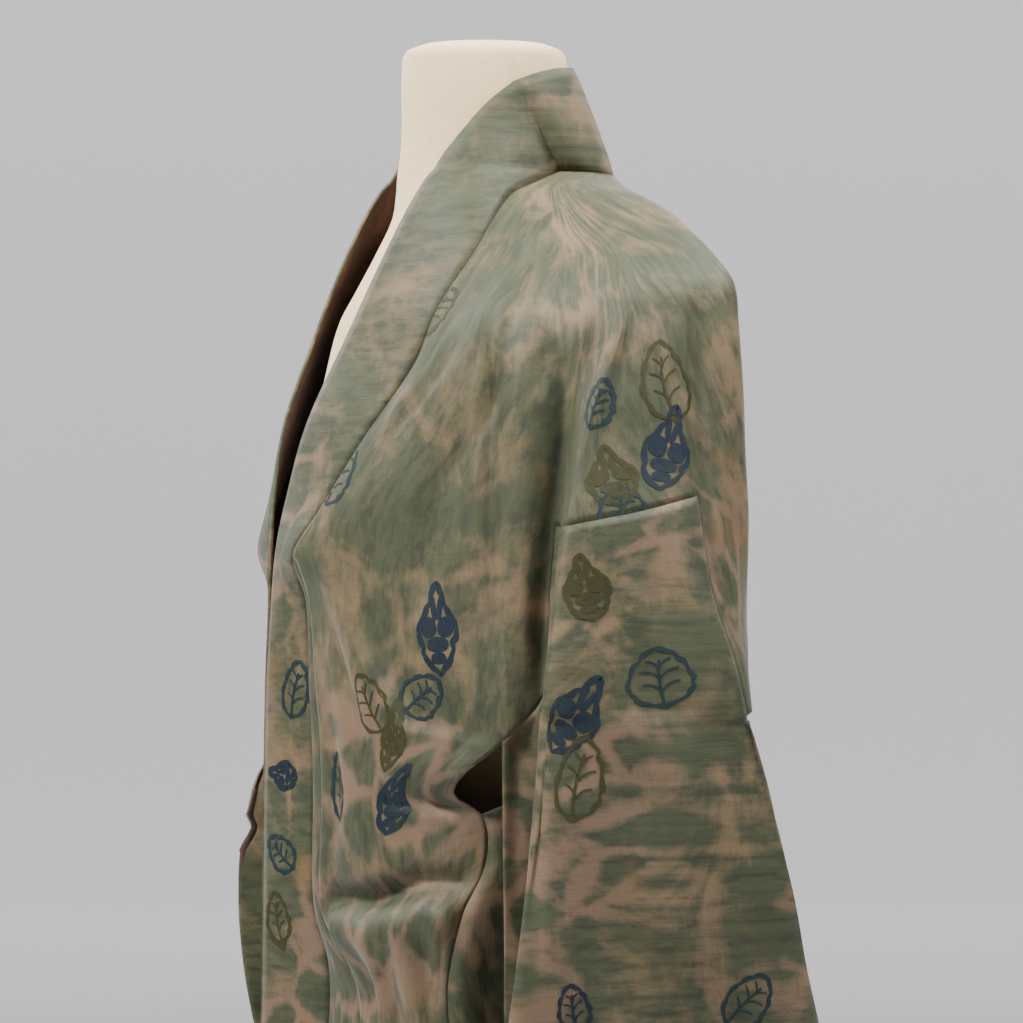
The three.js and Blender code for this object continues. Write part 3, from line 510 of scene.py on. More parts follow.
class Shader:
    """One material's node tree."""

    def __init__(self, name):
        self.material = bpy.data.materials.new(name)
        self.material.use_nodes = True
        self.tree = self.material.node_tree
        self.surface = self.tree.nodes["Principled BSDF"]

    def node(self, kind, settings, inputs):
        """Add a node, set it up, and link or set its inputs."""
        made = self.tree.nodes.new(kind)
        for key, value in settings.items():
            setattr(made, key, value)
        for key, value in inputs.items():
            value = getattr(value, "socket", value)
            if isinstance(value, bpy.types.NodeSocket):
                self.tree.links.new(value, made.inputs[key])
            else:
                made.inputs[key].default_value = value
        return Made(self, made)

    def cloth_map(self):
        """The panel's own map in metres of cloth."""
        return self.node("ShaderNodeUVMap", {"uv_map": "cloth"}, {}).out("UV")

    def place(self, scale, source=None):
        """A map stretched by its scale; the object's own space when no source is given."""
        source = source or self.node("ShaderNodeTexCoord", {}, {}).out("Object")
        return self.node("ShaderNodeMapping", {}, {"Vector": source, "Scale": scale}).out("Vector")

    def noise(self, vector, scale, detail=4.0, rough=0.55, warp=0.0):
        """Cloudy noise between 0 and 1."""
        inputs = {"Vector": vector, "Scale": scale, "Detail": detail, "Roughness": rough,
                  "Distortion": warp}
        return self.node("ShaderNodeTexNoise", {}, inputs).out(0)

    def mix(self, factor, a, b):
        """Colour a at factor 0, colour b at factor 1."""
        return self.node("ShaderNodeMix", {"data_type": "RGBA"}, {0: factor, 6: a, 7: b}).out(2)

    def shade(self, colour, amount):
        """A colour made lighter or darker by an amount near one."""
        return self.node("ShaderNodeHueSaturation", {}, {"Color": colour, "Value": amount}).out("Color")

    def feed(self, socket, value):
        """Give the surface a value: a link for a socket, a setting for a plain number."""
        if isinstance(value, Value):
            self.tree.links.new(value.socket, self.surface.inputs[socket])
        else:
            self.surface.inputs[socket].default_value = value

    def bump(self, height, distance, strength):
        """Fine relief; the distance is in metres."""
        inputs = {"Height": height, "Distance": distance, "Strength": strength}
        self.feed("Normal", self.node("ShaderNodeBump", {}, inputs).out("Normal"))


print("shader helper ready")

# %% [markdown]
# The silk was tied and dyed in green over a pinkish tan, so the ground is a cloud of soft blots with
# pale veins between them and fine streaks along the thread. Noise at three sizes makes the blots, a
# distorted cell pattern makes the veins, and a very stretched noise makes the slubs of the weave.

# %% Silk ground
GREEN_DARK = (0.0145, 0.027, 0.0125, 1)
GREEN = (0.039, 0.053, 0.0235, 1)
TAN = (0.165, 0.112, 0.058, 1)
PINK_TAN = (0.15, 0.096, 0.06, 1)
OCHRE = (0.15, 0.08, 0.02, 1)
ROSE = (0.062, 0.027, 0.024, 1)
MAROON = (0.02, 0.0075, 0.0075, 1)
FULL = (1.0, 1.0, 1.0)


def silk_ground(name, lining=False):
    """Mottled dyed silk with a woven bump; the lining keeps the weave in rose and maroon."""
    s = Shader(name)
    weave = s.cloth_map()
    along_thread = s.place((3.4, 1.0, 1.0), weave)
    cloud = s.noise(s.place((1.0, 1.0, 0.8)), 15.0, 6.0, 0.66, 0.9)
    patch = s.noise(s.place(FULL), 5.2, 3.0, 0.5, 0.3)
    streak = s.noise(along_thread, 46.0, 4.0, 0.65, 0.2)
    slub = s.noise(s.place((260.0, 9.0, 1.0), weave), 6.0, 3.0, 0.6)
    weft = s.noise(s.place((9.0, 260.0, 1.0), weave), 6.0, 3.0, 0.6)
    if lining:
        colour = s.mix(cloud.smooth(0.42, 0.62), MAROON, ROSE)
    else:
        bent = s.node("ShaderNodeVectorMath", {"operation": "MULTIPLY_ADD"},
                      {0: s.node("ShaderNodeTexNoise", {}, {"Vector": weave, "Scale": 24.0}).out("Color"),
                       1: (0.016, 0.016, 0.0), 2: weave}).out("Vector")
        cells = s.node("ShaderNodeTexVoronoi", {"feature": "DISTANCE_TO_EDGE"},
                       {"Vector": s.place((1.0, 0.7, 1.0), bent), "Scale": 32.0}).out("Distance")
        veins = (1 - cells.smooth(0.02, 0.2)) * patch.smooth(0.42, 0.62)
        blot = (cloud * 0.62 + patch * 0.3 + streak * 0.16 - veins * 0.17).smooth(0.37, 0.55)
        base = s.mix(patch.smooth(0.45, 0.62), TAN, PINK_TAN)
        deep = s.mix(streak.smooth(0.4, 0.66), GREEN, GREEN_DARK)
        colour = s.mix(blot * 0.9, base, deep)
        warm = s.noise(s.place((1.0, 1.0, 1.3)), 8.5, 3.0, 0.6, 0.8).smooth(0.60, 0.74)
        colour = s.mix(warm * 0.42, colour, OCHRE)
    thread = (slub - 0.5) * 0.5 + (weft - 0.5) * 0.35
    s.feed("Base Color", s.shade(colour, thread + 1.0))
    s.feed("Roughness", 0.62 - thread * 0.2)
    s.feed("Sheen Weight", 0.1)
    s.feed("Sheen Roughness", 0.4)
    s.feed("Specular IOR Level", 0.4)
    s.bump(thread, 0.0006, 0.5)
    return s.material


silk = silk_ground("printed_silk_ground")
rose_lining = silk_ground("rose_lining", lining=True)
print("silk and lining made")

# %% [markdown]
# Now the panels. Each one repeats its solid's name so that it can stand for it.

# %% Body panels


def body_piece(side, name):
    """One body strip with its armhole left open."""
    points = side.body(LEVELS, PLACES)
    high, low = LEVELS[:-1, None], LEVELS[1:, None]
    start = PLACES[None, :-1]
    cap = (start >= 3 - NEAR) & (start < 6 - NEAR)
    roll = (start >= 2 - NEAR) & (start < 3 - NEAR)
    keep = np.where(cap, low >= ARM_SEAM - NEAR, np.where(roll, low >= ARM_END - NEAR, high > 0))
    piece = grid_mesh(name, points, keep, side.sign < 0)
    return cloth_wall(piece, CLOTH, silk, rose_lining), points


def add_panels(kind, maker):
    """The left and the right panel of one kind, kept with their grids."""
    for side, word in ((left, "left"), (right, "right")):
        name = kind + "_" + word
        panels[name], grids[name] = maker(side, "cloth_" + name)


panels, grids = {}, {}
add_panels("body", body_piece)
print("body panels:", [len(p.data.polygons) for p in panels.values()])

# %% [markdown]
# A kimono sleeve is a bag folded from one cloth, sewn to the body over the top of the armhole only.
# With no arm in it, it hangs straight down: open towards the body, open at the cuff, closed below.

# %% Sleeves
INSIDE_TOP = 1118.0
LIP_IN, LIP_DROP = 20.0, 16.0
SLEEVE_LEVELS = np.concatenate([spread([ARM_SEAM, OVERLAP_TOP, ARM_END, INSIDE_TOP, CUFF], 6.0),
                                spread([BAG_TOP, BAG_FOLD], 7.0)])
SLEEVE_PLACES = np.concatenate([spread([2, 3, 4], 1 / 16)[:-1], spread([4, 6], 1 / 16)[:-1],
                                spread([6, 9], 1 / 14)])
LIP_ROW = int(np.argmin(abs(SLEEVE_LEVELS - BAG_TOP)))


def sleeve_piece(side, name):
    """One sleeve: cap squares from the armhole seam down, inside squares growing to a closed bag."""
    points = side.sleeve(SLEEVE_LEVELS, SLEEVE_PLACES)
    inside = SLEEVE_PLACES > 6 + NEAR
    reach = 3 * np.maximum(ramp(SLEEVE_LEVELS, ARM_END, BAG_TOP), 0.004)
    for row in np.flatnonzero((SLEEVE_LEVELS < ARM_END) & (SLEEVE_LEVELS > BAG_TOP)):
        places = np.where(inside, 6 + (SLEEVE_PLACES - 6) / 3 * reach[row] * 0.95, SLEEVE_PLACES)
        points[row] = side.sleeve(SLEEVE_LEVELS[row:row + 1], places)[0]
    arch = np.sin(np.pi * ramp(SLEEVE_PLACES, 4, 6))
    fall = np.exp(-np.arange(len(SLEEVE_LEVELS) - LIP_ROW) / 5.0)[:, None]
    points[LIP_ROW:, :, 0] -= side.sign * LIP_IN * arch * fall
    points[LIP_ROW:, :, 2] -= LIP_DROP * arch * fall
    high, low = SLEEVE_LEVELS[:-1, None], SLEEVE_LEVELS[1:, None]
    start = SLEEVE_PLACES[None, :-1]
    keep = np.ones((len(SLEEVE_LEVELS) - 1, len(SLEEVE_PLACES) - 1), bool)
    keep &= ~((start < 3 - NEAR) & (high > ARM_END + NEAR))
    keep &= ~((start >= 6 - NEAR) & (high > ARM_END - NEAR))
    keep &= ~((start >= 4 - NEAR) & (start < 6 - NEAR) & (high >= CUFF - NEAR) & (low <= BAG_TOP + NEAR))
    keep &= ~((start >= 9 - 1 / 14 - NEAR) & (high > BAG_TOP + NEAR))
    piece = grid_mesh(name, points, keep, side.sign < 0, turned=True)
    return cloth_wall(piece, CLOTH, silk, rose_lining), points


add_panels("sleeve", sleeve_piece)
print("sleeves made")

# %% [markdown]
# The overlap panels fill the front between the body and the collar band. They begin as a point on
# the collar seam and widen to the hem.

# %% Overlap panels and collar band
OVERLAP_LEVELS = LEVELS[LEVELS <= OVERLAP_TOP + NEAR]
OVERLAP_BOW, OVERLAP_FREE_BOW, OVERLAP_RIPPLE = 3.0, 7.0, 5.0
NAPE_TURN = math.radians(86.3)
BAND_TIP, BAND_DOME, BAND_WAVE = 19.0, 2.4, 0.8
COLLAR_CREASE, COLLAR_CREASE_DEPTH = 1509.0, -2.6


def edge_points(side, levels):
    """Free edge of the collar band on one side."""
    edge = along(BAND_EDGE, np.asarray(levels, float))
    return edge * [side.sign, 1, 1]


def seam_points(side, levels):
    """Collar seam on one side, below the body panel's own edge."""
    xy = side.read("collar_seam", np.asarray(levels, float))
    return np.stack([side.sign * xy[:, 0], xy[:, 1], levels], -1)


def overlap_piece(side, name):
    """Straight threads from the front edge or collar seam to the body seam, bowed forwards."""
    levels = OVERLAP_LEVELS
    free = (levels < BAND_END)[:, None]
    start = np.where(free, edge_points(side, levels), seam_points(side, levels))
    start[:, 2] = levels
    end = side.body(levels, np.array([0.0]))[:, 0]
    t = np.linspace(0, 1, 13)[None, :, None]
    points = start[:, None] * (1 - t) + end[:, None] * t
    bow = np.where(free, OVERLAP_FREE_BOW, OVERLAP_BOW) * ramp(levels, OVERLAP_TOP, 1150)[:, None]
    points[..., 1] -= bow * np.sin(np.pi * t[..., 0])
    ripple = ramp(levels, 900, HEM)[:, None] * OVERLAP_RIPPLE * np.sin(t[..., 0] * 9)
    points[..., 1] += ripple * np.sin(np.pi * t[..., 0])
    keep = np.ones((len(levels) - 1, 12), bool)
    piece = grid_mesh(name, points, keep, side.sign < 0)
    return cloth_wall(piece, CLOTH, silk, rose_lining), points


def band_piece(name):
    """Strip from one lower end up round the nape and down to the other, softly domed across."""
    halves = []
    for side in (left, right):
        nape = side.body(np.array([NECK_SEAM]), np.linspace(9, 0, 40))[0]
        walked = np.concatenate([[0], np.cumsum(np.linalg.norm(np.diff(nape, axis=0), axis=1))])
        share = walked / walked[-1]
        turn = NAPE_TURN * share
        edge = np.stack([side.sign * NAPE_RADIUS * np.sin(turn), NAPE_RADIUS * np.cos(turn),
                         NAPE_TOP - NAPE_DROP * share ** 3], -1)
        levels = LEVELS[(LEVELS < NECK_SEAM) & (LEVELS >= BAND_END - NEAR)]
        seam = np.where((levels > OVERLAP_TOP)[:, None], side.body(levels, np.array([0.0]))[:, 0],
                        seam_points(side, levels))
        front = edge_points(side, levels)
        front[-1, 2] = BAND_END - BAND_TIP
        halves.append((np.concatenate([edge, front]), np.concatenate([nape, seam])))
    edge = np.concatenate([halves[0][0][::-1], halves[1][0][1:]])
    seam = np.concatenate([halves[0][1][::-1], halves[1][1][1:]])
    t = np.linspace(0, 1, 11)[None, :, None]
    points = edge[:, None] * (1 - t) + seam[:, None] * t
    normal = unit(np.cross(np.gradient(points, axis=0), np.gradient(points, axis=1)))
    middle = points[:, 5]
    facing = np.sign(np.sum(normal[:, 5, :2] * middle[:, :2], axis=-1))
    normal *= facing[:, None, None]
    dome = BAND_DOME * np.sin(np.pi * t[..., 0]) ** 0.6
    wave = BAND_WAVE * np.sin(np.arange(len(points)) / 5.0)[:, None] * np.sin(np.pi * t[..., 0])
    turned_over = COLLAR_CREASE_DEPTH * bell((points[..., 2] - COLLAR_CREASE) / 5)
    turned_over = turned_over * ease(ramp(60 - points[..., 1], 0, 25))
    points = points + normal * (dome + wave + turned_over)[..., None]
    keep = np.ones((len(points) - 1, 10), bool)
    piece = grid_mesh(name, points, keep, True, turned=True)
    return cloth_wall(piece, BAND, silk, rose_lining), points


add_panels("okumi", overlap_piece)
panels["collar"], grids["collar"] = band_piece("cloth_collar")
print("panels:", sorted(panels))

# %% [markdown]
# The dress form is a padded body covered in cream linen. Its levels are rounded ovals, as in its
# solid, with a cover seam down each side of the neck and trunk that shows as a fine groove.

# %% Dress form
FORM = [[1598, 44, 0, -44, 44], [1594, 54, 0, -54, 54], [1586, 57.4, 0, -57.4, 57.4],
        [1530, 58, 0, -58, 58], [1507, 60, 3, -61, 62], [1490, 77, 10, -62, 72], [1476, 98, 16, -64, 80],
        [1450, 127, 20, -76, 90], [1427, 150, 22, -88, 97], [1404, 162, 20, -100, 101],
        [1370, 168, 15, -109, 104], [1330, 164, 10, -118, 105], [1257, 149, 5, -124, 100],
        [1180, 135, 0, -110, 86], [1087, 121, 0, -96, 74], [980, 146, 5, -103, 94],
        [887, 156, 5, -104, 106], [830, 149, 5, -98, 99]]
FORM_FRONT_ROUND, FORM_BACK_ROUND = 1.85, 2.2
SEAM_TURN, SEAM_GROOVE = math.radians(97), 0.016
LINEN_PALE, LINEN_DEEP = (0.9, 0.69, 0.4, 1), (0.8, 0.6, 0.34, 1)


def form_piece(name):
    """Ovals: x by the sine and y by the cosine of the turn, each raised to two over the roundness."""
    levels = np.concatenate([spread([1598, 1594, 1586], 1.0)[:-1], spread([1586, 830], 6.0)])
    turn = np.linspace(0, 2 * np.pi, 161)
    half, middle, front, back = np.moveaxis(along(FORM, levels), -1, 0)[:, :, None]
    trunk = np.where(np.cos(turn) > 0, FORM_FRONT_ROUND, FORM_BACK_ROUND)
    mixed = 2 + (trunk[None] - 2) * ease(ramp(levels, 1530, 1480))[:, None]
    x = half * np.sign(np.sin(turn)) * abs(np.sin(turn)) ** (2 / mixed)
    c = -np.sign(np.cos(turn)) * abs(np.cos(turn)) ** (2 / mixed)
    y = middle + np.where(c < 0, (middle - front) * c, (back - middle) * c)
    side_seam = sum(bell(np.angle(np.exp(1j * (turn + place))) / 0.03) for place in (-SEAM_TURN, SEAM_TURN))
    shrink = 1 - SEAM_GROOVE * side_seam[None]
    points = np.stack([x * shrink, y * shrink, levels[:, None] + 0 * x], -1)
    cap_mid = points[:1].mean(axis=1, keepdims=True) + [0, 0, 1.5]
    rings = np.linspace(0.02, 1, 9)[:-1, None, None]
    cap = cap_mid + (points[:1] - cap_mid) * rings
    floor_mid = points[-1:].mean(axis=1, keepdims=True)
    base = floor_mid + (points[-1:] - floor_mid) * rings[::-1]
    points = np.concatenate([cap, points, base])
    return grid_mesh(name, points, np.ones((len(points) - 1, 160), bool), False)


def linen(name):
    """Cream linen: slightly stained, with warp and weft in colour and bump."""
    s = Shader(name)
    weave = s.cloth_map()
    warp = s.noise(s.place((700.0, 30.0, 1.0), weave), 3.0, 2.0, 0.6)
    weft = s.noise(s.place((30.0, 700.0, 1.0), weave), 3.0, 2.0, 0.6)
    stain = s.noise(s.place(FULL), 9.0, 4.0, 0.6)
    thread = (warp - 0.5) + (weft - 0.5)
    colour = s.mix(stain.smooth(0.35, 0.7), LINEN_PALE, LINEN_DEEP)
    s.feed("Base Color", s.shade(colour, thread * 0.35 + 1.0))
    s.feed("Roughness", 0.88 - thread * 0.1)
    s.feed("Sheen Weight", 0.15)
    s.bump(thread, 0.0008, 0.5)
    return s.material


form = form_piece("linen_form")
form.data.materials.append(linen("cream_linen"))
print("form made")

# %% [markdown]
# The stand keeps its solids: a turned steel pole and a round plate, painted satin black with a
# little wear and dust in the paint.

# %% Stand finish


def painted_steel(name):
    """Satin black paint with a fine grain and pale dust."""
    s = Shader(name)
    grain = s.noise(s.place(FULL), 220.0, 3.0, 0.6)
    dust = s.noise(s.place(FULL), 14.0, 4.0, 0.6)
    s.feed("Base Color", s.mix(dust.smooth(0.5, 0.8), (0.022, 0.022, 0.024, 1), (0.06, 0.058, 0.055, 1)))
    s.feed("Roughness", 0.32 + grain * 0.2)
    s.feed("Metallic", 0.35)
    s.bump(grain, 0.0003, 0.3)
    return s.material


stand_paint = painted_steel("stand_paint")
for node in ("stand_pole", "stand_base"):
    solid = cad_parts[node]
    solid.data.materials.clear()
    solid.data.materials.append(stand_paint)
print("stand painted")

# %% [markdown]
# The camera stands level with the chest, at the wearer's left and a little in front. Its sizes come
# from the photograph: the neck is about 116 mm wide and 165 pixels across.

# %% Camera
VIEW_AZIMUTH = math.radians(75)
VIEW_HEIGHT = 1.273
VIEW_DISTANCE = 3.2
VIEW_ASIDE = 0.019
IMAGE_SIZE = 1023
LENS, SENSOR = 161.2, 36.0
view_right = np.array([math.cos(VIEW_AZIMUTH), math.sin(VIEW_AZIMUTH), 0])
view_back = np.array([math.sin(VIEW_AZIMUTH), -math.cos(VIEW_AZIMUTH), 0])
eye = np.array([0, 0, VIEW_HEIGHT]) + view_back * VIEW_DISTANCE + view_right * VIEW_ASIDE
camera = bpy.data.objects.new("camera", bpy.data.cameras.new("camera"))
bpy.context.collection.objects.link(camera)
camera.data.lens, camera.data.sensor_width = LENS, SENSOR
camera.location = eye
camera.rotation_mode = "QUATERNION"
camera.rotation_quaternion = Vector(-view_back).to_track_quat("-Z", "Y")
bpy.context.scene.camera = camera


def to_picture(points):
    """Picture place of points in millimetres: across and down, in pixels."""
    ray = points * MM - eye
    depth = -(ray @ view_back)
    scale = IMAGE_SIZE * LENS / SENSOR / depth
    middle = IMAGE_SIZE / 2
    return np.stack([middle + (ray @ view_right) * scale, middle - ray[..., 2] * scale], -1)


print("camera at", [round(float(v), 3) for v in eye])

# %% [markdown]
# The printed leaves are stencil shapes: a leaf drawn as an outline with veins, and a leaf filled in
# with pale gaps between its lobes. They are drawn here from scratch as wavy ovals, and laid on the
# cloth by finding the point of the panel that the camera sees at a given place. A print that is part
# of the shader would need a map of its own for each leaf, so each print is a thin skin on its panel.

# %% Leaf shapes
STROKE = 2.7
# Height and half width down each stencil from tip to stalk, as shares of the leaf's height and width
SPADE = [[0.5, 0], [0.45, 0.06], [0.37, 0.13], [0.29, 0.17], [0.23, 0.22], [0.17, 0.26], [0.11, 0.35],
         [0.04, 0.44], [-0.04, 0.48], [-0.12, 0.45], [-0.18, 0.38], [-0.22, 0.36], [-0.28, 0.38],
         [-0.35, 0.31], [-0.41, 0.2], [-0.45, 0.12], [-0.5, 0]]
ROUND = [[0.5, 0], [0.46, 0.1], [0.4, 0.24], [0.34, 0.3], [0.29, 0.3], [0.22, 0.39], [0.14, 0.44],
         [0.08, 0.42], [0, 0.47], [-0.08, 0.5], [-0.14, 0.46], [-0.22, 0.47], [-0.3, 0.4],
         [-0.37, 0.36], [-0.44, 0.2], [-0.48, 0.09], [-0.5, 0]]


def leaf_edge(half, wobble=0.012):
    """Closed edge of a stencil: right side down, left side up, with a slightly uneven hand."""
    half = np.array(half)
    turn = np.linspace(0, len(half) - 1, 40)
    y = np.interp(turn, np.arange(len(half)), half[:, 0])
    x = np.interp(turn, np.arange(len(half)), half[:, 1])
    right_side = np.stack([x + wobble * np.sin(turn * 2.9), y], -1)
    left_side = np.stack([-x + wobble * np.sin(turn * 2.3 + 1), y + wobble * np.sin(turn * 1.7)], -1)
    return np.concatenate([right_side, left_side[-2:0:-1]])


def leaned(points, lean):
    """Flat points turned by a lean in radians."""
    return points @ np.array([[math.cos(lean), math.sin(lean)], [-math.sin(lean), math.cos(lean)]])


def oval(x, y, width, height, lean=0.0, count=28):
    """A leaf cell: an oval that is a little squared, turned by its lean."""
    a = np.linspace(0, 2 * np.pi, count, endpoint=False)
    edge = np.stack([width / 2 * np.sign(np.sin(a)) * abs(np.sin(a)) ** 0.85,
                     height / 2 * np.sign(np.cos(a)) * abs(np.cos(a)) ** 0.85], -1)
    return leaned(edge, lean) + [x, y]


def ribbon(line, width, closed=False):
    """Points and quads of a stroke: its line pushed half the width to each side."""
    line = np.asarray(line, float)
    step = np.roll(line, -1, 0) - np.roll(line, 1, 0) if closed else np.gradient(line, axis=0)
    step = unit(step)
    side = np.stack([step[:, 1], -step[:, 0]], -1) * np.asarray(width).reshape(-1, 1) / 2
    points = np.concatenate([line - side, line + side])
    n = len(line)
    first = np.arange(n if closed else n - 1)
    second = (first + 1) % n
    return points, np.stack([first, second, second + n, first + n], -1)


def blob(edge, rings=4):
    """Points and quads of a filled shape, as rings between its middle and its edge."""
    middle = edge.mean(axis=0)
    t = np.linspace(0.03, 1, rings)[:, None, None]
    points = (middle + (edge - middle) * t).reshape(-1, 2)
    n = len(edge)
    j = np.arange(n)
    k = (j + 1) % n
    quads = [np.stack([j, k, k + n, j + n], -1) + ring * n for ring in range(rings - 1)]
    return points, np.concatenate(quads)


def join(shapes):
    """One set of points and quads from several."""
    points, quads, offset = [], [], 0
    for p, q in shapes:
        points.append(p)
        quads.append(q + offset)
        offset += len(p)
    return np.concatenate(points), np.concatenate(quads)


def vein_line(start, end, bend, count=12):
    """A line from start to end that bends to one side by a share of its length."""
    t = np.linspace(0, 1, count)[:, None]
    start, end = np.array(start, float), np.array(end, float)
    sidelong = np.array([-(end - start)[1], (end - start)[0]])
    return start + (end - start) * t + sidelong * bend * np.sin(np.pi * t)


def veined_leaf(width, height):
    """Outline, midrib and side veins, as brush strokes of uneven width."""
    edge = leaf_edge(ROUND) * [width, height]
    wide = STROKE * (1 + 0.3 * np.sin(np.arange(len(edge)) * 0.7))
    shapes = [ribbon(edge, wide, closed=True)]
    midrib = vein_line([0, -0.44 * height], [0.02 * width, 0.3 * height], 0.05)
    shapes.append(ribbon(midrib, np.full(12, STROKE * 0.7)))
    for up, reach in ((-0.24, 0.28), (-0.02, 0.3), (0.16, 0.2)):
        for hand in (-1, 1):
            end = [hand * reach * width, (up + 0.14) * height]
            vein = vein_line([0, up * height], end, 0.12 * hand)
            shapes.append(ribbon(vein, np.full(12, STROKE * 0.5)))
    return join(shapes)


def filled_leaf(width, height):
    """Thick wavy outline round filled cells, with thin gaps of the ground between them."""
    edge = leaf_edge(SPADE) * [width, height]
    wide = STROKE * 1.35 * (1 + 0.25 * np.sin(np.arange(len(edge)) * 0.6))
    cells = [(-0.075, 0.22, 0.13, 0.31, 0.12), (0.08, 0.21, 0.13, 0.29, -0.14),
             (-0.215, 0.0, 0.39, 0.235, 0.3), (0.21, -0.01, 0.39, 0.235, -0.3),
             (0, -0.2, 0.54, 0.165, 0), (0, -0.345, 0.38, 0.12, 0)]
    shapes = [ribbon(edge, wide, closed=True)]
    for x, y, w, h, lean in cells:
        shapes.append(blob(oval(x * width, y * height, w * width, h * height, lean)))
    return join(shapes)


print("leaf shapes ready")

# %% [markdown]
# One row for each print: the panel, its place in the photograph in pixels, its width and height in
# millimetres, its lean in degrees, its kind and its dye.

# %% Prints
PRINTS = [
    ("body_left", 431, 307, 24, 34, -28, "veined", "olive_dye"),
    ("body_left", 320, 458, 26, 46, -22, "veined", "teal_dye"),
    ("body_left", 439, 627, 31, 58, 4, "filled", "blue_dye"),
    ("body_left", 419, 696, 30, 32, -50, "veined", "teal_dye"),
    ("body_left", 368, 705, 30, 44, 30, "veined", "olive_dye"),
    ("body_left", 396, 739, 22, 44, -20, "filled", "olive_dye"),
    ("body_left", 391, 801, 22, 50, -6, "filled", "blue_dye"),
    ("body_left", 341, 786, 20, 46, 6, "veined", "teal_dye"),
    ("collar", 297, 689, 24, 40, -16, "veined", "teal_dye"),
    ("collar", 281, 774, 20, 26, 80, "filled", "blue_dye"),
    ("collar", 280, 850, 22, 30, 50, "veined", "teal_dye"),
    ("collar", 277, 915, 22, 34, 10, "veined", "olive_dye"),
    ("body_left", 668, 446, 34, 58, -18, "filled", "blue_dye"),
    ("body_left", 612, 471, 38, 40, 12, "filled", "olive_dye"),
    ("body_left", 622, 505, 34, 26, 10, "veined", "teal_dye"),
    ("body_left", 596, 407, 18, 34, -20, "veined", "teal_dye"),
    ("body_left", 666, 377, 34, 54, 10, "veined", "olive_dye"),
    ("sleeve_left", 586, 585, 32, 44, 10, "filled", "olive_dye"),
    ("sleeve_left", 578, 711, 34, 58, -36, "filled", "blue_dye"),
    ("sleeve_left", 661, 675, 46, 38, 8, "veined", "teal_dye"),
    ("sleeve_left", 580, 776, 32, 54, -12, "veined", "olive_dye"),
    ("sleeve_left", 752, 997, 30, 42, -48, "veined", "teal_dye"),
    ("sleeve_left", 575, 1008, 22, 30, 10, "veined", "blue_dye"),
]
# The same stencils where the photograph can't show them: panel, place across, height, the rest as above
HIDDEN_PRINTS = [
    ("body_right", 1.2, 1330, 32, 50, 12, "filled", "blue_dye"),
    ("body_right", 0.8, 1120, 30, 44, -20, "veined", "teal_dye"),
    ("body_right", 4.8, 1330, 34, 54, 16, "filled", "olive_dye"),
    ("body_right", 7.6, 1250, 34, 54, -10, "filled", "blue_dye"),
    ("body_right", 8.3, 1060, 32, 46, 24, "veined", "teal_dye"),
    ("body_right", 7.2, 760, 34, 54, -8, "filled", "olive_dye"),
    ("body_right", 1.4, 700, 34, 54, 18, "veined", "teal_dye"),
    ("body_right", 8.4, 420, 34, 56, -14, "filled", "blue_dye"),
    ("body_left", 8.1, 1340, 32, 52, 14, "veined", "teal_dye"),
    ("body_left", 7.6, 1130, 34, 54, -22, "filled", "olive_dye"),
    ("body_left", 8.4, 880, 34, 54, 10, "filled", "blue_dye"),
    ("body_left", 1.2, 830, 32, 50, 14, "veined", "teal_dye"),
    ("body_left", 1.4, 560, 34, 56, -10, "filled", "blue_dye"),
    ("body_left", 7.0, 520, 34, 54, 20, "filled", "olive_dye"),
    ("body_left", 8.0, 260, 32, 50, -16, "veined", "teal_dye"),
    ("body_left", 1.6, 260, 34, 54, 12, "filled", "olive_dye"),
    ("sleeve_left", 5.0, 780, 34, 54, 30, "filled", "blue_dye"),
    ("sleeve_right", 4.6, 1150, 34, 54, -24, "filled", "blue_dye"),
    ("sleeve_right", 5.2, 1040, 40, 46, 14, "veined", "teal_dye"),
    ("sleeve_right", 4.9, 790, 34, 54, 12, "filled", "olive_dye"),
]
DYES = {"blue_dye": (0.004, 0.0125, 0.025, 1), "olive_dye": (0.032, 0.031, 0.008, 1),
        "teal_dye": (0.006, 0.021, 0.027, 1)}
LIFT = 0.35


def dye(name, colour):
    """Worn dye that lets a little of the cloth through."""
    s = Shader(name)
    worn = s.noise(s.place(FULL), 160.0, 4.0, 0.7)
    fade = s.noise(s.place(FULL), 34.0, 3.0, 0.6)
    pale = tuple(0.7 * c + 0.3 * g for c, g in zip(colour, GREEN))
    s.feed("Base Color", s.mix(fade.smooth(0.42, 0.72) * 0.6 + worn.smooth(0.5, 0.8) * 0.2, colour, pale))
    s.feed("Roughness", 0.6 + worn * 0.1)
    s.feed("Alpha", 0.97 - worn.smooth(0.52, 0.72) * 0.45)
    s.feed("Specular IOR Level", 0.3)
    return s.material


DYE_MATERIALS = {name: dye(name, colour) for name, colour in DYES.items()}


def outward_normals(panel):
    """Outward direction of every grid point of a panel."""
    grid = grids[panel]
    normals = unit(np.cross(np.gradient(grid, axis=0), np.gradient(grid, axis=1)))
    if panel == "collar":
        return normals * np.sign(np.sum(normals[..., :2] * grid[..., :2], axis=-1, keepdims=True))
    return -normals if panel.endswith("right") else normals


def sample(grid, i, j):
    """Grid value at fractional row and column: straight mix of the four around."""
    i0 = np.clip(np.floor(i).astype(int), 0, grid.shape[0] - 2)
    j0 = np.clip(np.floor(j).astype(int), 0, grid.shape[1] - 2)
    a, b = np.clip(i - i0, 0, 1)[:, None], np.clip(j - j0, 0, 1)[:, None]
    top = grid[i0, j0] * (1 - b) + grid[i0, j0 + 1] * b
    low = grid[i0 + 1, j0] * (1 - b) + grid[i0 + 1, j0 + 1] * b
    return top * (1 - a) + low * a


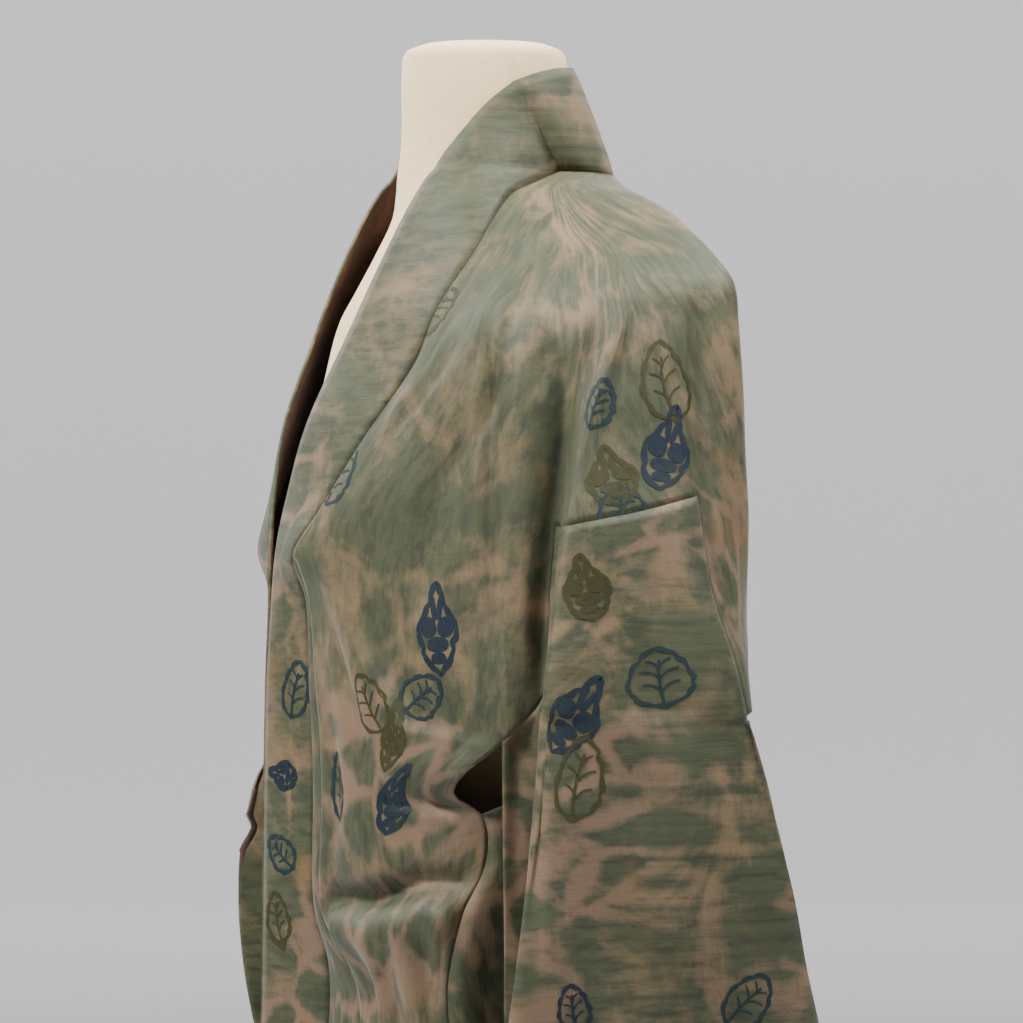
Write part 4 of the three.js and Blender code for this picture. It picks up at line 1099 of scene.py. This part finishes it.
def cloth_limits(panel, row, col):
    """First and last row and column that a print starting at a cell may reach."""
    last_row, last_col = np.array(grids[panel].shape[:2]) - 1
    limits = [0, last_row, 0, last_col]
    if panel.startswith("sleeve"):
        limits[0] = np.flatnonzero(SLEEVE_LEVELS <= ARM_SEAM)[0] + NEAR
        limits[3] = np.flatnonzero(SLEEVE_PLACES <= 6.6)[-1]
    if panel.startswith("body"):
        if 3 <= PLACES[col] < 6:
            limits[1] = np.flatnonzero(LEVELS >= ARM_SEAM - NEAR)[-1]
        if LEVELS[row] < ARM_END and PLACES[col] <= 2:
            limits[3] = np.flatnonzero(PLACES <= 2)[-1]
        elif LEVELS[row] < ARM_END:
            limits[2] = np.flatnonzero(PLACES >= 6)[0]
    return limits


def lay_print(panel, row, col, width, height, lean, kind):
    """Points in millimetres and quads of one print on its panel's outer face."""
    grid, normals = grids[panel], outward_normals(panel)
    local, quads = (veined_leaf if kind == "veined" else filled_leaf)(width, height)
    local = leaned(local, math.radians(lean))
    sideways = unit(np.cross([0, 0, 1.0], normals[row, col]))
    upright = np.cross(normals[row, col], sideways)
    steps = np.stack([np.gradient(grid, axis=0)[row, col], np.gradient(grid, axis=1)[row, col]], -1)
    offsets = local[:, :1] * sideways + local[:, 1:] * upright
    moves = np.linalg.lstsq(steps, offsets.T, rcond=None)[0].T
    i, j = row + moves[:, 0], col + moves[:, 1]
    first_row, last_row, first_col, last_col = cloth_limits(panel, row, col)
    inside = (i >= first_row) & (i <= last_row) & (j >= first_col) & (j <= last_col)
    quads = quads[inside[quads].all(axis=1)]
    return sample(grid, i, j) + sample(normals, i, j) * LIFT, quads


def find_cell(panel, x, y):
    """Row and column of the panel's point nearest to a place in the picture, facing the camera."""
    grid = grids[panel]
    hidden = (outward_normals(panel) @ view_back) < 0.05
    if panel.startswith("sleeve"):
        hidden |= SLEEVE_PLACES > 6
    if panel.startswith("body"):
        hidden |= (PLACES > 2) & (LEVELS[:, None] < ARM_END)
        hidden |= (PLACES >= 3) & (PLACES < 6) & (LEVELS[:, None] < ARM_SEAM)
    miss = np.linalg.norm(to_picture(grid) - [x, y], axis=-1)
    return np.unravel_index(np.argmin(np.where(hidden, np.inf, miss)), miss.shape)


def cell_at(panel, place, z):
    """Row and column of the panel's point nearest to a place across and a height."""
    levels, places = (SLEEVE_LEVELS, SLEEVE_PLACES) if panel.startswith("sleeve") else (LEVELS, PLACES)
    return np.argmin(abs(levels - z)), np.argmin(abs(places - place))


gathered = {}
for rows, find in ((PRINTS, find_cell), (HIDDEN_PRINTS, cell_at)):
    for panel, x, y, *stencil, colour in rows:
        gathered.setdefault((panel, colour), []).append(lay_print(panel, *find(panel, x, y), *stencil))
prints = {}
for (panel, colour), shapes in gathered.items():
    points, quads = join(shapes)
    mesh = bpy.data.meshes.new(f"print_{panel}_{colour}")
    mesh.from_pydata((points * MM).tolist(), [], quads.tolist())
    mesh.polygons.foreach_set("use_smooth", np.ones(len(mesh.polygons), bool))
    mesh.materials.append(DYE_MATERIALS[colour])
    mesh.update()
    skin = bpy.data.objects.new(mesh.name, mesh)
    bpy.context.collection.objects.link(skin)
    prints.setdefault(panel, []).append(skin)
print("prints laid:", sum(len(v) for v in prints.values()))

# %% [markdown]
# The studio: one pale sheet that is floor and far wall, glowing softly where it is far away as a lit
# backdrop does, with a window light from above and the left, and wide lights from behind and above,
# so that the folds keep soft shadows.

# %% Studio
WALL_BEHIND, WALL_TOP, FLOOR_AHEAD = 14.0, 12.0, 14.0
SHEET_REACH = 17.0
SWEEP_RADIUS = 3.0
GLOW_FROM, GLOW_FULL = 5.0, 9.5
GLOW = (0.52, 0.512, 0.527, 1)
sweep = np.linspace(0, np.pi / 2, 14)
curve = np.stack([WALL_BEHIND - SWEEP_RADIUS + SWEEP_RADIUS * np.sin(sweep),
                  SWEEP_RADIUS - SWEEP_RADIUS * np.cos(sweep)], -1)
profile = np.concatenate([[[-FLOOR_AHEAD, 0.0]], curve, [[WALL_BEHIND, WALL_TOP]]])
across_sheet = np.array([-SHEET_REACH, SHEET_REACH])[None, :, None]
up = np.array([0, 0, 1.0])
sheet_points = -view_back * profile[:, None, :1] + view_right * across_sheet + up * profile[:, None, 1:]
studio = grid_mesh("studio_sheet", sheet_points / MM, np.ones((len(profile) - 1, 1), bool), True)
paper = Shader("pale_paper")
tone = paper.noise(paper.place(FULL), 0.7, 2.0, 0.5)
paper.feed("Base Color", paper.mix(tone, (0.8, 0.8, 0.83, 1), (0.83, 0.83, 0.855, 1)))
paper_place = paper.node("ShaderNodeTexCoord", {}, {}).out("Object")
level_only = {0: paper_place, 1: (1.0, 1.0, 0.0)}
flat_place = paper.node("ShaderNodeVectorMath", {"operation": "MULTIPLY"}, level_only).out("Vector")
away = paper.node("ShaderNodeVectorMath", {"operation": "LENGTH"}, {0: flat_place}).out("Value")
paper.feed("Emission Color", paper.mix(away.smooth(GLOW_FROM, GLOW_FULL), (0, 0, 0, 1), GLOW))
paper.feed("Emission Strength", 1.0)
paper.feed("Roughness", 0.9)
studio.data.materials.append(paper.material)


def soft_light(name, aside, forward, up, size, power, colour=(1, 1, 1)):
    """Area light that looks at the chest; places and size in metres, power in watts."""
    data = bpy.data.lights.new(name, "AREA")
    data.shape, data.size, data.energy, data.color = "SQUARE", size, power, colour
    light = bpy.data.objects.new(name, data)
    place = np.array([0, 0, up]) + view_right * aside + view_back * forward
    light.location = place
    light.rotation_mode = "QUATERNION"
    light.rotation_quaternion = Vector(np.array([0, 0, 1.2]) - place).to_track_quat("-Z", "Y")
    light.visible_camera = False
    bpy.context.collection.objects.link(light)


soft_light("window", -1.25, 0.85, 2.9, 0.7, 118, (1.0, 0.985, 0.95))
soft_light("top", 0.75, 0.35, 2.6, 0.8, 52, (1.0, 0.985, 0.95))
soft_light("fill", 2.2, 2.4, 1.9, 1.6, 14)
soft_light("rim_left", -2.6, -2.8, 3.6, 2.0, 150, (1.0, 0.975, 0.965))
soft_light("rim_right", 1.6, -2.8, 4.4, 2.4, 70, (0.96, 0.96, 1.0))
world = bpy.data.worlds.new("studio_air")
world.use_nodes = True
world.node_tree.nodes["Background"].inputs["Color"].default_value = (0.86, 0.87, 0.9, 1)
world.node_tree.nodes["Background"].inputs["Strength"].default_value = 0.17
bpy.context.scene.world = world
print("studio lit")

# %% [markdown]
# Last, every piece is tied to the frame: it hangs from the root, and the solid that it stands for is hidden.
# Widths and lengths are those of a woman's kimono.

# %% Tie the pieces to the frame
for node, piece in panels.items():
    skins = prints.get(node, [])
    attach(piece, "root")
    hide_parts(node)
    for skin in skins:
        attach(skin, "root")
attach(form, "root")
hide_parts("dress_form")
